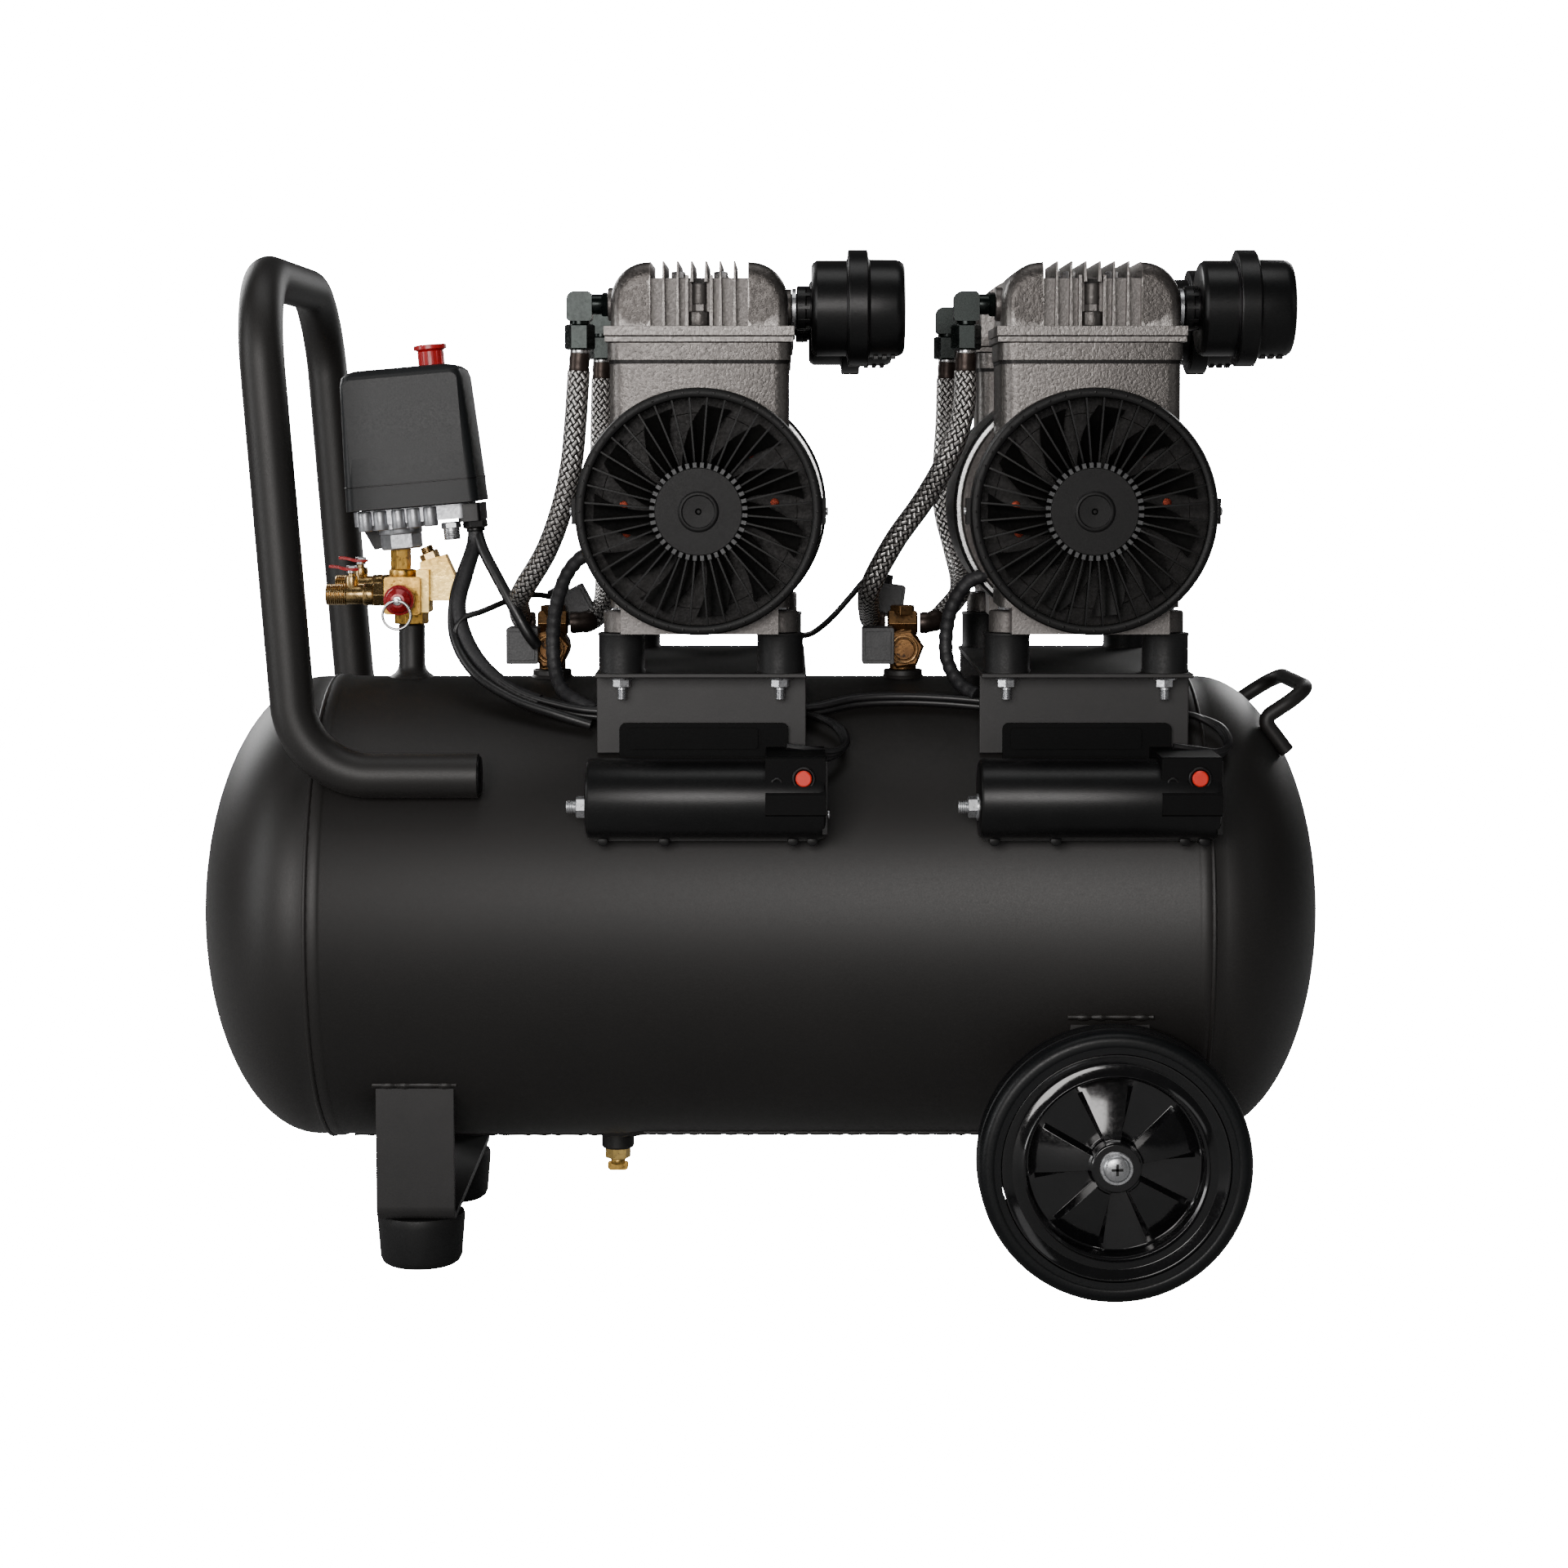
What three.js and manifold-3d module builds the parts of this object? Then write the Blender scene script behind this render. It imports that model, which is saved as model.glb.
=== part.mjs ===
// Twin-motor, oil-free air compressor on a horizontal tank.
// Millimetres, +X along the tank, +Y to the back, +Z up. The origin is on the floor, under the tank's middle.
import * as THREE from 'three';
import { mergeVertices } from 'three/addons/utils/BufferGeometryUtils.js';
import Module from 'manifold-3d';

const wasm = await Module();
wasm.setup();

// ---------------------------------------------------------------- driving dimensions

const GAP = 0.3; // between pieces that touch on the machine
const RUNNING = 0.45; // round a piece that turns or slides

const tank = {
  radius: 153, length: 738, wall: 2.5, dishDepth: 76.5, flange: 13.5,
  clearance: 68, seamWidth: 11, seamHeight: 1.5, sides: 24,
};
const riser = { x: -234, radius: 8.75, bore: 6, height: 35, flare: 15, flareHeight: 7 };
const drain = { x: -97, bossRadius: 11, bossDrop: 13, bore: 4, hex: 15, hexLength: 7 };
const pushHandle = {
  radius: 14, footX: -176, drop: 52, elbowX: -289, lean: 4.5, rise: 262, bend: 50, topBend: 60,
};
const liftHandle = { radius: 5, halfWidth: 62, footDrop: 47, kneeDrop: 27, endGap: 12, topDrop: 3, bend: 12 };
const strap = { width: 50, thickness: 4 };
const pad = { x: -220, y: 84, top: 28.5, bottom: 25, height: 33 };
const footStrap = { reach: 115 };
const wheel = {
  x: 220, radius: 85, width: 36, tyre: 14, tankGap: 5.4, rimBand: 16, hub: 16, bolt: 6, web: 6, sides: 20,
};
const axleStrap = { wheelGap: 7, drop: 25, nut: 9, capRadius: 10.4, capHeight: 4 };

const motorX = { left: -37, right: 206 };
const saddle = { halfWidth: 66.5, halfDepth: 130, plate: 3, rise: 9, apronReach: 107.5 };
const mount = { x: 50, y: 116, radius: 15, height: 25 };
const motor = {
  shaftRise: 77, columnRise: 104, shaft: 7, stator: 80, statorBore: 41, statorHalf: 53, core: 40, coreHalf: 40,
};
const crankcase = {
  inner: 53.3, column: 64, outer: 147, halfWidth: 57, base: 49, baseHeight: 19, lug: 60, lugHeight: 14,
  bell: 76, chamber: 46, bore: 32, corner: 8, pistonY: 105,
};
const crank = { eccentric: 16, offset: 8, width: 16 };
const piston = { crown: 8, rod: 12, ring: 6, deck: 3, swing: 1.2 };
const cylinderHead = {
  flange: 10, top: 50, halfWidth: 59, crown: 55, lobe: 24, finPitch: 8.8, fin: 2.4, slots: 7, valley: 40,
};
const guard = { radius: 76, back: 148.5, front: 168, rim: 6, hub: 29.4, ribs: 6, rib: 1.8, grille: 4, boss: 12 };
const fan = { radius: 66, hub: 20, blades: 4, blade: 3, from: 150, to: 161 };
const filter = {
  x: 70, length: 58, radius: 30, clampX: 92, clampWidth: 13, clamp: 36.3, neck: 14, spigot: 9, y: 112, rise: 22.5,
};
const hose = { radius: 7.2, elbowX: -76, rise: 25, stub: 8, elbow: 9.5, elbowHeight: 31, sides: 6 };

const manifold = { x: -238, z: 429, width: 24, front: -20, back: 12, halfHeight: 12.5 };
const tap = { radius: 7.3, end: -291, stemIn: 17, stem: 4.5, stemHeight: 14, lever: 15, rearY: 44, rearRise: 4 };
const safety = { y: -40, drop: 2, cap: 10, pin: 1.8, pinLength: 6, ring: 9.2, wire: 1.1 };
const pressureSwitch = {
  x: -240, lean: 5, neck: 30, neckHeight: 14, casting: 13, coverWidth: 88, coverFront: -40, coverBack: 31,
  coverShift: 14, coverHeight: 92, knob: 8.5, knobHeight: 14, knobX: 31, travel: 8,
};
const valve = {
  left: -140, right: 95, bossRadius: 13, bossHeight: 5, barrel: 11, hex: 24, rise: 19.5,
  tee: 16, teeY: 8, teeRadius: 8.5, teeLength: 20,
};
const coil = { width: 21, depth: 24, height: 24, shift: -17.5, y: -20 };
const capacitor = {
  left: -70, right: 78, radius: 25, gapToTank: 0.7, drop: 64, flatFrom: 41, flatTop: 28, plate: 52,
};
const reset = { x: 64.5, radius: 4.9, rise: 15, length: 12, proud: 3, travel: 3 };

// ---------------------------------------------------------------- places worked out from them

const tankAxis = tank.clearance + tank.radius;
const tankTop = tankAxis + tank.radius;
const seamX = tank.length / 2 - tank.dishDepth - tank.flange;
const saddleTop = tankTop + saddle.rise + saddle.plate;
const motorFoot = saddleTop + mount.height + GAP;
const shaftZ = motorFoot + motor.shaftRise;
const columnTop = shaftZ + motor.columnRise;
const handleFootZ = tankTop - pushHandle.drop;
const handleY = beside(pushHandle.radius + GAP, handleFootZ);
const wheelInner = beside(wheel.tankGap, Math.min(2 * wheel.radius, tankAxis));
const wheelMiddle = wheelInner + wheel.width / 2;
const axleZ = wheel.radius;
const boxZ = tankTop - capacitor.drop;
const boxY = -beside(capacitor.gapToTank + capacitor.radius, boxZ);
const riserTop = tankTop + riser.height;
const valveZ = tankTop + valve.rise;
const teeZ = valveZ + valve.tee;
const teeHalf = valve.teeLength / 2;
const drainFoot = tank.clearance - drain.bossDrop - drain.hexLength;

// The distance from the tank's middle plane of a line along the tank, at a height, that clears its side by a gap.
function beside(gap, z) {
  return Math.sqrt((tank.radius + gap) ** 2 - (z - tankAxis) ** 2);
}

// ---------------------------------------------------------------- geometry helpers

// A closed three.js geometry as a manifold-3d solid with its faces pointing out.
function solidOf(geometry) {
  geometry.deleteAttribute('normal');
  geometry.deleteAttribute('uv');
  const merged = mergeVertices(geometry, 1e-4);
  const triVerts = new Uint32Array(merged.index.array);
  const vertProperties = merged.attributes.position.array;
  const made = new wasm.Manifold(new wasm.Mesh({ numProp: 3, vertProperties, triVerts }));
  if (made.volume() > 0) return made;
  for (let i = 0; i < triVerts.length; i += 3) {
    [triVerts[i + 1], triVerts[i + 2]] = [triVerts[i + 2], triVerts[i + 1]];
  }
  return new wasm.Manifold(new wasm.Mesh({ numProp: 3, vertProperties, triVerts }));
}

// A manifold-3d solid as a geometry with flat shading.
function geometryOf(solid) {
  const { numProp, vertProperties, triVerts } = solid.getMesh();
  const count = vertProperties.length / numProp;
  const places = new Float32Array(count * 3);
  for (let i = 0; i < count; i++) places.set(vertProperties.subarray(i * numProp, i * numProp + 3), i * 3);
  const geometry = new THREE.BufferGeometry();
  geometry.setAttribute('position', new THREE.BufferAttribute(places, 3));
  geometry.setIndex(new THREE.BufferAttribute(triVerts, 1));
  const flat = geometry.toNonIndexed();
  flat.computeVertexNormals();
  return flat;
}

const join = (...solids) => solids.flat().reduce((whole, next) => whole.add(next));
const cut = (solid, ...tools) => tools.flat().reduce((whole, next) => whole.subtract(next), solid);

// A block from its lowest and highest place on each axis.
function block([x0, x1], [y0, y1], [z0, z1]) {
  const geometry = new THREE.BoxGeometry(x1 - x0, y1 - y0, z1 - z0);
  return solidOf(geometry.translate((x0 + x1) / 2, (y0 + y1) / 2, (z0 + z1) / 2));
}

// Turns a geometry made round +Y so that its axis is x, y or z.
function pointed(geometry, axis) {
  if (axis === 'x') return geometry.rotateZ(-Math.PI / 2);
  if (axis === 'z') return geometry.rotateX(Math.PI / 2);
  return geometry;
}

// A turned solid: profile points are [radius, place along the axis], and centre is the axis's own place.
function turned(profile, axis, centre = [0, 0, 0], sides = 16) {
  const points = profile.map(([radius, along]) => new THREE.Vector2(radius, along));
  return solidOf(pointed(new THREE.LatheGeometry(points, sides), axis).translate(...centre));
}

function rod(axis, radius, [from, to], centre = [0, 0, 0], sides = 16) {
  return turned([[0, from], [radius, from], [radius, to], [0, to]], axis, centre, sides);
}

// A hexagonal bar, by its size across the flats.
const hexagon = (axis, size, span, centre) => rod(axis, size / Math.sqrt(3), span, centre, 6);

// A hollow turned ring.
function ring(axis, inner, outer, [from, to], centre, sides = 16) {
  const profile = [[inner, from], [outer, from], [outer, to], [inner, to], [inner, from]];
  return turned(profile, axis, centre, sides);
}

// An outline pushed along an axis. The outline is in (y, z) for x, in (x, z) for y and in (x, y) for z.
function prism(outline, axis, [from, to], curveSegments = 3) {
  const shape = outline instanceof THREE.Shape ? outline : new THREE.Shape(outline.map((p) => new THREE.Vector2(...p)));
  const geometry = new THREE.ExtrudeGeometry(shape, { depth: to - from, bevelEnabled: false, curveSegments });
  geometry.translate(0, 0, from);
  const [x, y, z] = [new THREE.Vector3(1, 0, 0), new THREE.Vector3(0, 1, 0), new THREE.Vector3(0, 0, 1)];
  const bases = { x: [y, z, x], y: [x, z, y], z: [x, y, z] };
  return solidOf(geometry.applyMatrix4(new THREE.Matrix4().makeBasis(...bases[axis])));
}

// A rectangle with rounded corners: radii are those of the bottom and of the top.
function roundedOutline(u0, u1, v0, v1, bottom, top = bottom) {
  const shape = new THREE.Shape();
  shape.moveTo(u0 + bottom, v0);
  shape.lineTo(u1 - bottom, v0);
  if (bottom) shape.absarc(u1 - bottom, v0 + bottom, bottom, -Math.PI / 2, 0);
  shape.lineTo(u1, v1 - top);
  if (top) shape.absarc(u1 - top, v1 - top, top, 0, Math.PI / 2);
  shape.lineTo(u0 + top, v1);
  if (top) shape.absarc(u0 + top, v1 - top, top, Math.PI / 2, Math.PI);
  shape.lineTo(u0, v0 + bottom);
  if (bottom) shape.absarc(u0 + bottom, v0 + bottom, bottom, Math.PI, Math.PI * 1.5);
  return shape;
}

// A route through a list of points, with one step of a swept section for each of its stretches.
class Route extends THREE.Curve {
  constructor(points) {
    super();
    this.points = points;
  }
  getPoint(t, target = new THREE.Vector3()) {
    const last = this.points.length - 1;
    const place = t * last;
    const index = Math.min(Math.floor(place + 1e-6), last - 1);
    return target.lerpVectors(this.points[index], this.points[index + 1], place - index);
  }
  getPointAt(t, target) {
    return this.getPoint(t, target);
  }
  getTangentAt(t, target = new THREE.Vector3()) {
    const index = Math.round(t * (this.points.length - 1));
    const before = this.points[Math.max(index - 1, 0)];
    const here = this.points[index];
    const after = this.points[Math.min(index + 1, this.points.length - 1)];
    const arriving = new THREE.Vector3().subVectors(here, before).normalize();
    const leaving = new THREE.Vector3().subVectors(after, here).normalize();
    return target.addVectors(arriving, leaving).normalize();
  }
}

// A bar or tube of round section along a list of points.
function swept(points, radius, sides = 8) {
  const section = [...Array(sides).keys()].map((i) => {
    const angle = (i * 2 * Math.PI) / sides;
    return new THREE.Vector2(radius * Math.cos(angle), radius * Math.sin(angle));
  });
  const route = new Route(points);
  const options = { steps: points.length - 1, extrudePath: route, bevelEnabled: false };
  return solidOf(new THREE.ExtrudeGeometry(new THREE.Shape(section), options));
}

// A smooth curve through hand-placed points, as a list of evenly spaced points.
function smooth(places, steps) {
  const curve = new THREE.CatmullRomCurve3(places.map((p) => new THREE.Vector3(...p)), false, 'centripetal');
  return curve.getSpacedPoints(steps);
}

// Straight runs between corners, with each corner rounded to its radius.
function bentRoute(corners, radii, arcSteps = 5) {
  const points = corners.map((p) => new THREE.Vector3(...p));
  const route = [points[0]];
  radii.forEach((radius, i) => {
    const [before, corner, after] = points.slice(i, i + 3);
    const back = before.clone().sub(corner).normalize();
    const on = after.clone().sub(corner).normalize();
    const half = back.angleTo(on) / 2;
    const centre = back.clone().add(on).normalize().multiplyScalar(radius / Math.sin(half)).add(corner);
    const start = back.clone().multiplyScalar(radius / Math.tan(half)).add(corner).sub(centre);
    const end = on.clone().multiplyScalar(radius / Math.tan(half)).add(corner).sub(centre);
    const sweep = start.angleTo(end);
    for (let step = 0; step <= arcSteps; step++) {
      const t = step / arcSteps;
      const point = start.clone().multiplyScalar(Math.sin((1 - t) * sweep));
      point.addScaledVector(end, Math.sin(t * sweep)).divideScalar(Math.sin(sweep));
      route.push(point.add(centre));
    }
  });
  route.push(points[points.length - 1]);
  return route;
}

const finishes = {
  powderCoat: { color: 0x1d1b1a, roughness: 0.62, metalness: 0.3 },
  blackPlastic: { color: 0x151515, roughness: 0.5, metalness: 0 },
  glossPlastic: { color: 0x0c0d10, roughness: 0.15, metalness: 0 },
  rubber: { color: 0x121212, roughness: 0.9, metalness: 0 },
  casting: { color: 0x6f6a66, roughness: 0.5, metalness: 0.8 },
  steel: { color: 0x9a9a9c, roughness: 0.35, metalness: 1 },
  zinc: { color: 0x8d9092, roughness: 0.4, metalness: 0.9 },
  brass: { color: 0xb08a3e, roughness: 0.35, metalness: 1 },
  braid: { color: 0xa8a4a0, roughness: 0.4, metalness: 0.9 },
  greyCoil: { color: 0x6b6d70, roughness: 0.6, metalness: 0 },
  red: { color: 0xc8161d, roughness: 0.4, metalness: 0 },
};

function named(name, solid, finish) {
  const mesh = new THREE.Mesh(geometryOf(solid), new THREE.MeshStandardMaterial(finishes[finish]));
  mesh.name = name;
  return mesh;
}

// The space that the tank and its seams take, with the gap that neighbours keep, for cutting them to its side.
// It is seen from a group that stands at x.
function tankSpaceFrom(x) {
  const centre = [0, 0, tankAxis];
  const seams = [-seamX - x, seamX - x].map((seam) => {
    const span = [seam - tank.seamWidth / 2 - GAP, seam + tank.seamWidth / 2 + GAP];
    return rod('x', tank.radius + tank.seamHeight + GAP, span, centre, tank.sides);
  });
  return join(rod('x', tank.radius + GAP, [-tank.length, tank.length], centre, tank.sides), seams);
}

// ---------------------------------------------------------------- the tank and what stands on it

// Half of the tank's side view, from one end to the other, drawn in by an inset.
function tankProfile(inset, steps, seams) {
  const dish = seamX + tank.flange;
  const half = [];
  for (let i = 0; i <= steps; i++) {
    const angle = (i / steps) * (Math.PI / 2);
    const radius = i === 0 ? 0 : (tank.radius - inset) * Math.sin(angle);
    half.push([radius, -dish - (tank.dishDepth - inset) * Math.cos(angle)]);
  }
  if (seams) {
    const proud = tank.radius + tank.seamHeight;
    half.push([tank.radius, -seamX - tank.seamWidth / 2], [proud, -seamX - tank.seamWidth / 2 + 1]);
    half.push([proud, -seamX + tank.seamWidth / 2 - 1], [tank.radius, -seamX + tank.seamWidth / 2]);
  }
  const other = half.map(([radius, along]) => [radius, -along]).reverse();
  return [...half, ...other];
}

function makeTank() {
  const centre = [0, 0, tankAxis];
  const outside = turned(tankProfile(0, 6, true), 'x', centre, tank.sides);
  const inside = turned(tankProfile(tank.wall, 4, false), 'x', centre, tank.sides);
  const flare = [[0, tankTop - 4], [riser.flare, tankTop - 4], [riser.flare, tankTop]];
  flare.push([riser.radius, tankTop + riser.flareHeight], [riser.radius, riserTop], [0, riserTop]);
  const pipes = [turned(flare, 'z', [riser.x, 0, 0], 12)];
  const bores = [rod('z', riser.bore, [tankAxis, riserTop + 1], [riser.x, 0, 0], 8)];
  for (const x of [valve.left, valve.right]) {
    pipes.push(rod('z', valve.bossRadius, [tankTop - 4, tankTop + valve.bossHeight], [x, 0, 0], 12));
    bores.push(rod('z', riser.bore, [tankAxis, tankTop + valve.bossHeight + 1], [x, 0, 0], 8));
  }
  pipes.push(rod('z', drain.bossRadius, [tank.clearance - drain.bossDrop, tank.clearance + 4], [drain.x, 0, 0], 12));
  pipes.push(hexagon('z', drain.hex, [drainFoot, drainFoot + drain.hexLength + 1], [drain.x, 0, 0]));
  bores.push(rod('z', drain.bore, [drainFoot - 1, tankAxis], [drain.x, 0, 0], 8));
  return cut(join(outside.subtract(inside), pipes), bores);
}

function makePushHandle() {
  const topZ = tankTop + pushHandle.rise;
  const leanX = (z) => pushHandle.elbowX - (z - handleFootZ) * Math.tan(THREE.MathUtils.degToRad(pushHandle.lean));
  const side = (y) => [
    [pushHandle.footX, y, handleFootZ],
    [pushHandle.elbowX, y, handleFootZ],
    [leanX(topZ), y, topZ],
  ];
  const corners = [...side(-handleY), ...side(handleY).reverse()];
  const radii = [pushHandle.bend, pushHandle.topBend, pushHandle.topBend, pushHandle.bend];
  return swept(bentRoute(corners, radii, 5), pushHandle.radius, 8);
}

// A place on the tank's right-hand dish at a height and a depth, pushed out from its surface.
function onDish(y, z, out) {
  const rise = z - tankAxis;
  const away = Math.hypot(y, rise);
  const along = tank.dishDepth * Math.sqrt(1 - (away / tank.radius) ** 2);
  const slopeX = along / tank.dishDepth ** 2;
  const slopeZ = rise / tank.radius ** 2;
  const slope = Math.hypot(slopeX, slopeZ, y / tank.radius ** 2);
  const inPlane = Math.hypot(slopeX, slopeZ);
  const push = (out * slope) / inPlane ** 2;
  return [seamX + tank.flange + along + push * slopeX, y, z + push * slopeZ];
}

function makeLiftHandle() {
  const out = liftHandle.radius + GAP;
  const right = tank.length / 2 - liftHandle.endGap;
  const side = (y) => [
    onDish(y, tankTop - liftHandle.footDrop, out),
    onDish(y, tankTop - liftHandle.kneeDrop, out),
    [right, y, tankTop - liftHandle.topDrop],
  ];
  const corners = [...side(-liftHandle.halfWidth), ...side(liftHandle.halfWidth).reverse()];
  const bend = liftHandle.bend;
  return swept(bentRoute(corners, [6, bend, bend, 6], 3), liftHandle.radius, 8);
}

// A bent strap under the tank, cut to the tank's side.
function makeStrap(x, reach, bottom) {
  const across = [x - strap.width / 2, x + strap.width / 2];
  const outer = prism(roundedOutline(-reach, reach, bottom, tankAxis, 10, 0), 'x', across);
  const inner = roundedOutline(
    -reach + strap.thickness, reach - strap.thickness, bottom + strap.thickness, tankAxis + 1, 6, 0,
  );
  return cut(outer, prism(inner, 'x', [across[0] - 1, across[1] + 1]), tankSpaceFrom(0));
}

function makePad(y) {
  const rise = 4;
  const profile = [[0, 0], [pad.bottom, 0], [pad.bottom + 1, rise], [pad.top, pad.height - rise]];
  profile.push([pad.top, pad.height], [0, pad.height]);
  return turned(profile, 'z', [pad.x, y, 0], 20);
}

function makeDrainWing() {
  const z = drainFoot - GAP;
  const wing = block([drain.x - 7, drain.x + 7], [-1.6, 1.6], [z - 9, z - 2.5]);
  return join(rod('z', 5, [z - 4, z], [drain.x, 0, 0], 10), wing);
}

// ---------------------------------------------------------------- the wheels

// side is -1 for the near wheel and 1 for the far one; outward is the way from the tank.
function makeTyre(side) {
  const inner = wheel.radius - wheel.tyre;
  const half = wheel.width / 2;
  const shoulder = wheel.radius - 7;
  const profile = [[inner, -half + 1], [shoulder, -half], [wheel.radius, -half + 9], [wheel.radius, half - 9]];
  profile.push([shoulder, half], [inner, half - 1], [inner, -half + 1]);
  return turned(profile, 'y', [wheel.x, side * wheelMiddle, axleZ], wheel.sides);
}

function makeRim(side) {
  const outer = wheel.radius - wheel.tyre - GAP;
  const band = outer - wheel.rimBand;
  const half = wheel.width / 2;
  const bore = wheel.bolt + RUNNING;
  const web = wheel.web / 2;
  const profile = [[bore, -half + 2], [wheel.hub, -half + 2], [wheel.hub, -web], [band, -web], [outer, -half + 2]];
  profile.push([outer, half - 2], [band, web], [wheel.hub, web], [wheel.hub, half - 2], [bore, half - 2]);
  profile.push([bore, -half + 2]);
  return turned(profile, 'y', [wheel.x, side * wheelMiddle, axleZ], wheel.sides);
}

const axleOuter = wheelInner - axleStrap.wheelGap;

function makeWheelBolt(side) {
  const nutIn = axleOuter - strap.thickness - GAP;
  const face = wheelInner + wheel.width - 2 + GAP;
  const span = (a, b) => (side > 0 ? [a, b] : [-b, -a]);
  const centre = [wheel.x, 0, axleZ];
  const cap = [[0, face], [axleStrap.capRadius, face], [axleStrap.capRadius, face + 1.5]];
  cap.push([axleStrap.capRadius * 0.6, face + axleStrap.capHeight], [0, face + axleStrap.capHeight + 0.5]);
  const placed = cap.map(([radius, along]) => [radius, side * along]);
  return join(
    hexagon('y', 17, span(nutIn - axleStrap.nut, nutIn), centre),
    rod('y', wheel.bolt, span(nutIn - 1, face + 1), centre, 12),
    turned(placed, 'y', centre, 12),
  );
}

function makeAxleStrap() {
  const whole = makeStrap(wheel.x, axleOuter, axleZ - axleStrap.drop);
  return cut(whole, rod('y', wheel.bolt + RUNNING, [-axleOuter - 1, axleOuter + 1], [wheel.x, 0, axleZ], 12));
}

// ---------------------------------------------------------------- one motor, at x = 0

function makeSaddle(x) {
  const { halfWidth, halfDepth, plate, apronReach } = saddle;
  const pieces = [block([-halfWidth, halfWidth], [-halfDepth, halfDepth], [saddleTop - plate, saddleTop])];
  for (const y of [-1, 1]) {
    const span = y > 0 ? [apronReach - 3, apronReach] : [-apronReach, -apronReach + 3];
    pieces.push(block([-halfWidth, halfWidth], span, [tankAxis, saddleTop - plate / 2]));
    for (const across of [-1, 1]) {
      const centre = [across * mount.x, y * mount.y, 0];
      pieces.push(rod('z', mount.radius, [saddleTop - plate / 2, saddleTop + mount.height], centre, 12));
    }
  }
  return cut(join(pieces), tankSpaceFrom(x));
}

function makeStator() {
  const { stator, statorBore, statorHalf } = motor;
  return ring('y', statorBore, stator, [-statorHalf, statorHalf], [0, 0, shaftZ], 24);
}

// The shaft with its core, two fans and, at each end, an eccentric with its counterweight. They turn as one piece.
function makeRotor() {
  const centre = [0, 0, shaftZ];
  const end = fan.to - 1;
  const pieces = [
    rod('y', motor.shaft, [-end, end], centre, 8),
    rod('y', motor.core, [-motor.coreHalf, motor.coreHalf], centre, 16),
  ];
  for (const side of [-1, 1]) {
    const along = (a, b) => (side > 0 ? [a, b] : [-b, -a]);
    const from = crankcase.pistonY - crank.width / 2;
    const high = [0, 0, shaftZ + crank.offset];
    pieces.push(rod('y', crank.eccentric, along(from, from + crank.width), high, 12));
    const low = [0, 0, shaftZ - crank.offset];
    pieces.push(rod('y', crank.eccentric, along(from - crank.width, from + 0.5), low, 12));
    pieces.push(rod('y', fan.hub, along(fan.from, fan.to), centre, 10));
    for (let i = 0; i < fan.blades; i++) {
      const blade = new THREE.BoxGeometry(fan.radius - fan.hub + 3, fan.blade, 26);
      blade.rotateX(side * 0.3);
      blade.translate((fan.radius + fan.hub - 3) / 2, 0, 0);
      blade.rotateY((i / fan.blades) * 2 * Math.PI);
      pieces.push(solidOf(blade.translate(0, (side * (fan.from + fan.to)) / 2, shaftZ)));
    }
  }
  return join(pieces);
}

// side is -1 for the front crankcase and 1 for the rear one.
function makeCrankcase(side) {
  const { halfWidth, inner, column, outer, base, lug, chamber, bore, corner } = crankcase;
  const along = (a, b) => (side > 0 ? [a, b] : [-b, -a]);
  const foot = motorFoot + crankcase.baseHeight;
  const pieces = [
    prism(roundedOutline(-halfWidth, halfWidth, ...along(column, outer), corner), 'z', [foot, columnTop], 1),
    block([-base, base], along(column, outer), [motorFoot, foot + 1]),
    block([-lug, lug], along(mount.y - 12, mount.y + 12), [motorFoot, motorFoot + crankcase.lugHeight]),
    rod('y', crankcase.bell, along(inner, column + 2), [0, 0, shaftZ], 16),
  ];
  const crankY = side * crankcase.pistonY;
  const tools = [
    rod('y', chamber, along(column + 6, outer - 8), [0, 0, shaftZ], 12),
    rod('z', bore, [shaftZ, columnTop + 1], [0, crankY, 0], 12),
    rod('y', motor.shaft + RUNNING, along(inner - 1, outer + 1), [0, 0, shaftZ], 16),
  ];
  return cut(join(pieces), tools);
}

// A wobble piston: crown, rod and big end in one piece. Its big end is opened to clear the whole swing of the eccentric.
function makePiston(side) {
  const y = side * crankcase.pistonY;
  const eye = crank.eccentric + crank.offset + piston.swing;
  const crownTop = columnTop - piston.deck;
  const half = crank.width / 2 - 1;
  const body = [
    rod('z', crankcase.bore - RUNNING, [crownTop - piston.crown, crownTop], [0, y, 0], 12),
    block([-piston.rod / 2, piston.rod / 2], [y - half, y + half], [shaftZ + eye, crownTop - piston.crown + 1]),
    rod('y', eye + piston.ring, [y - half, y + half], [0, 0, shaftZ], 16),
  ];
  return cut(join(body), rod('y', eye, [y - 20, y + 20], [0, 0, shaftZ], 16));
}

function makeHead(side) {
  const { flange, top, halfWidth, lobe, finPitch, fin, valley } = cylinderHead;
  const along = (a, b) => (side > 0 ? [a, b] : [-b, -a]);
  const { column, outer } = crankcase;
  const foot = columnTop + GAP;
  const outline = roundedOutline(-cylinderHead.crown, cylinderHead.crown, foot + flange - 1, foot + top, 0, lobe);
  const crown = prism(outline, 'y', along(column, outer), 4);
  const slots = [...Array(cylinderHead.slots).keys()].map((i) => {
    const middle = (i - (cylinderHead.slots - 1) / 2) * finPitch;
    const span = [middle - (finPitch - fin) / 2, middle + (finPitch - fin) / 2];
    return block(span, along(column - 1, outer + 1), [foot + valley, foot + top + 1]);
  });
  const plate = block([-halfWidth, halfWidth], along(column - 2, outer + 1), [foot, foot + flange]);
  return cut(join(plate, crown), slots);
}

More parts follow.
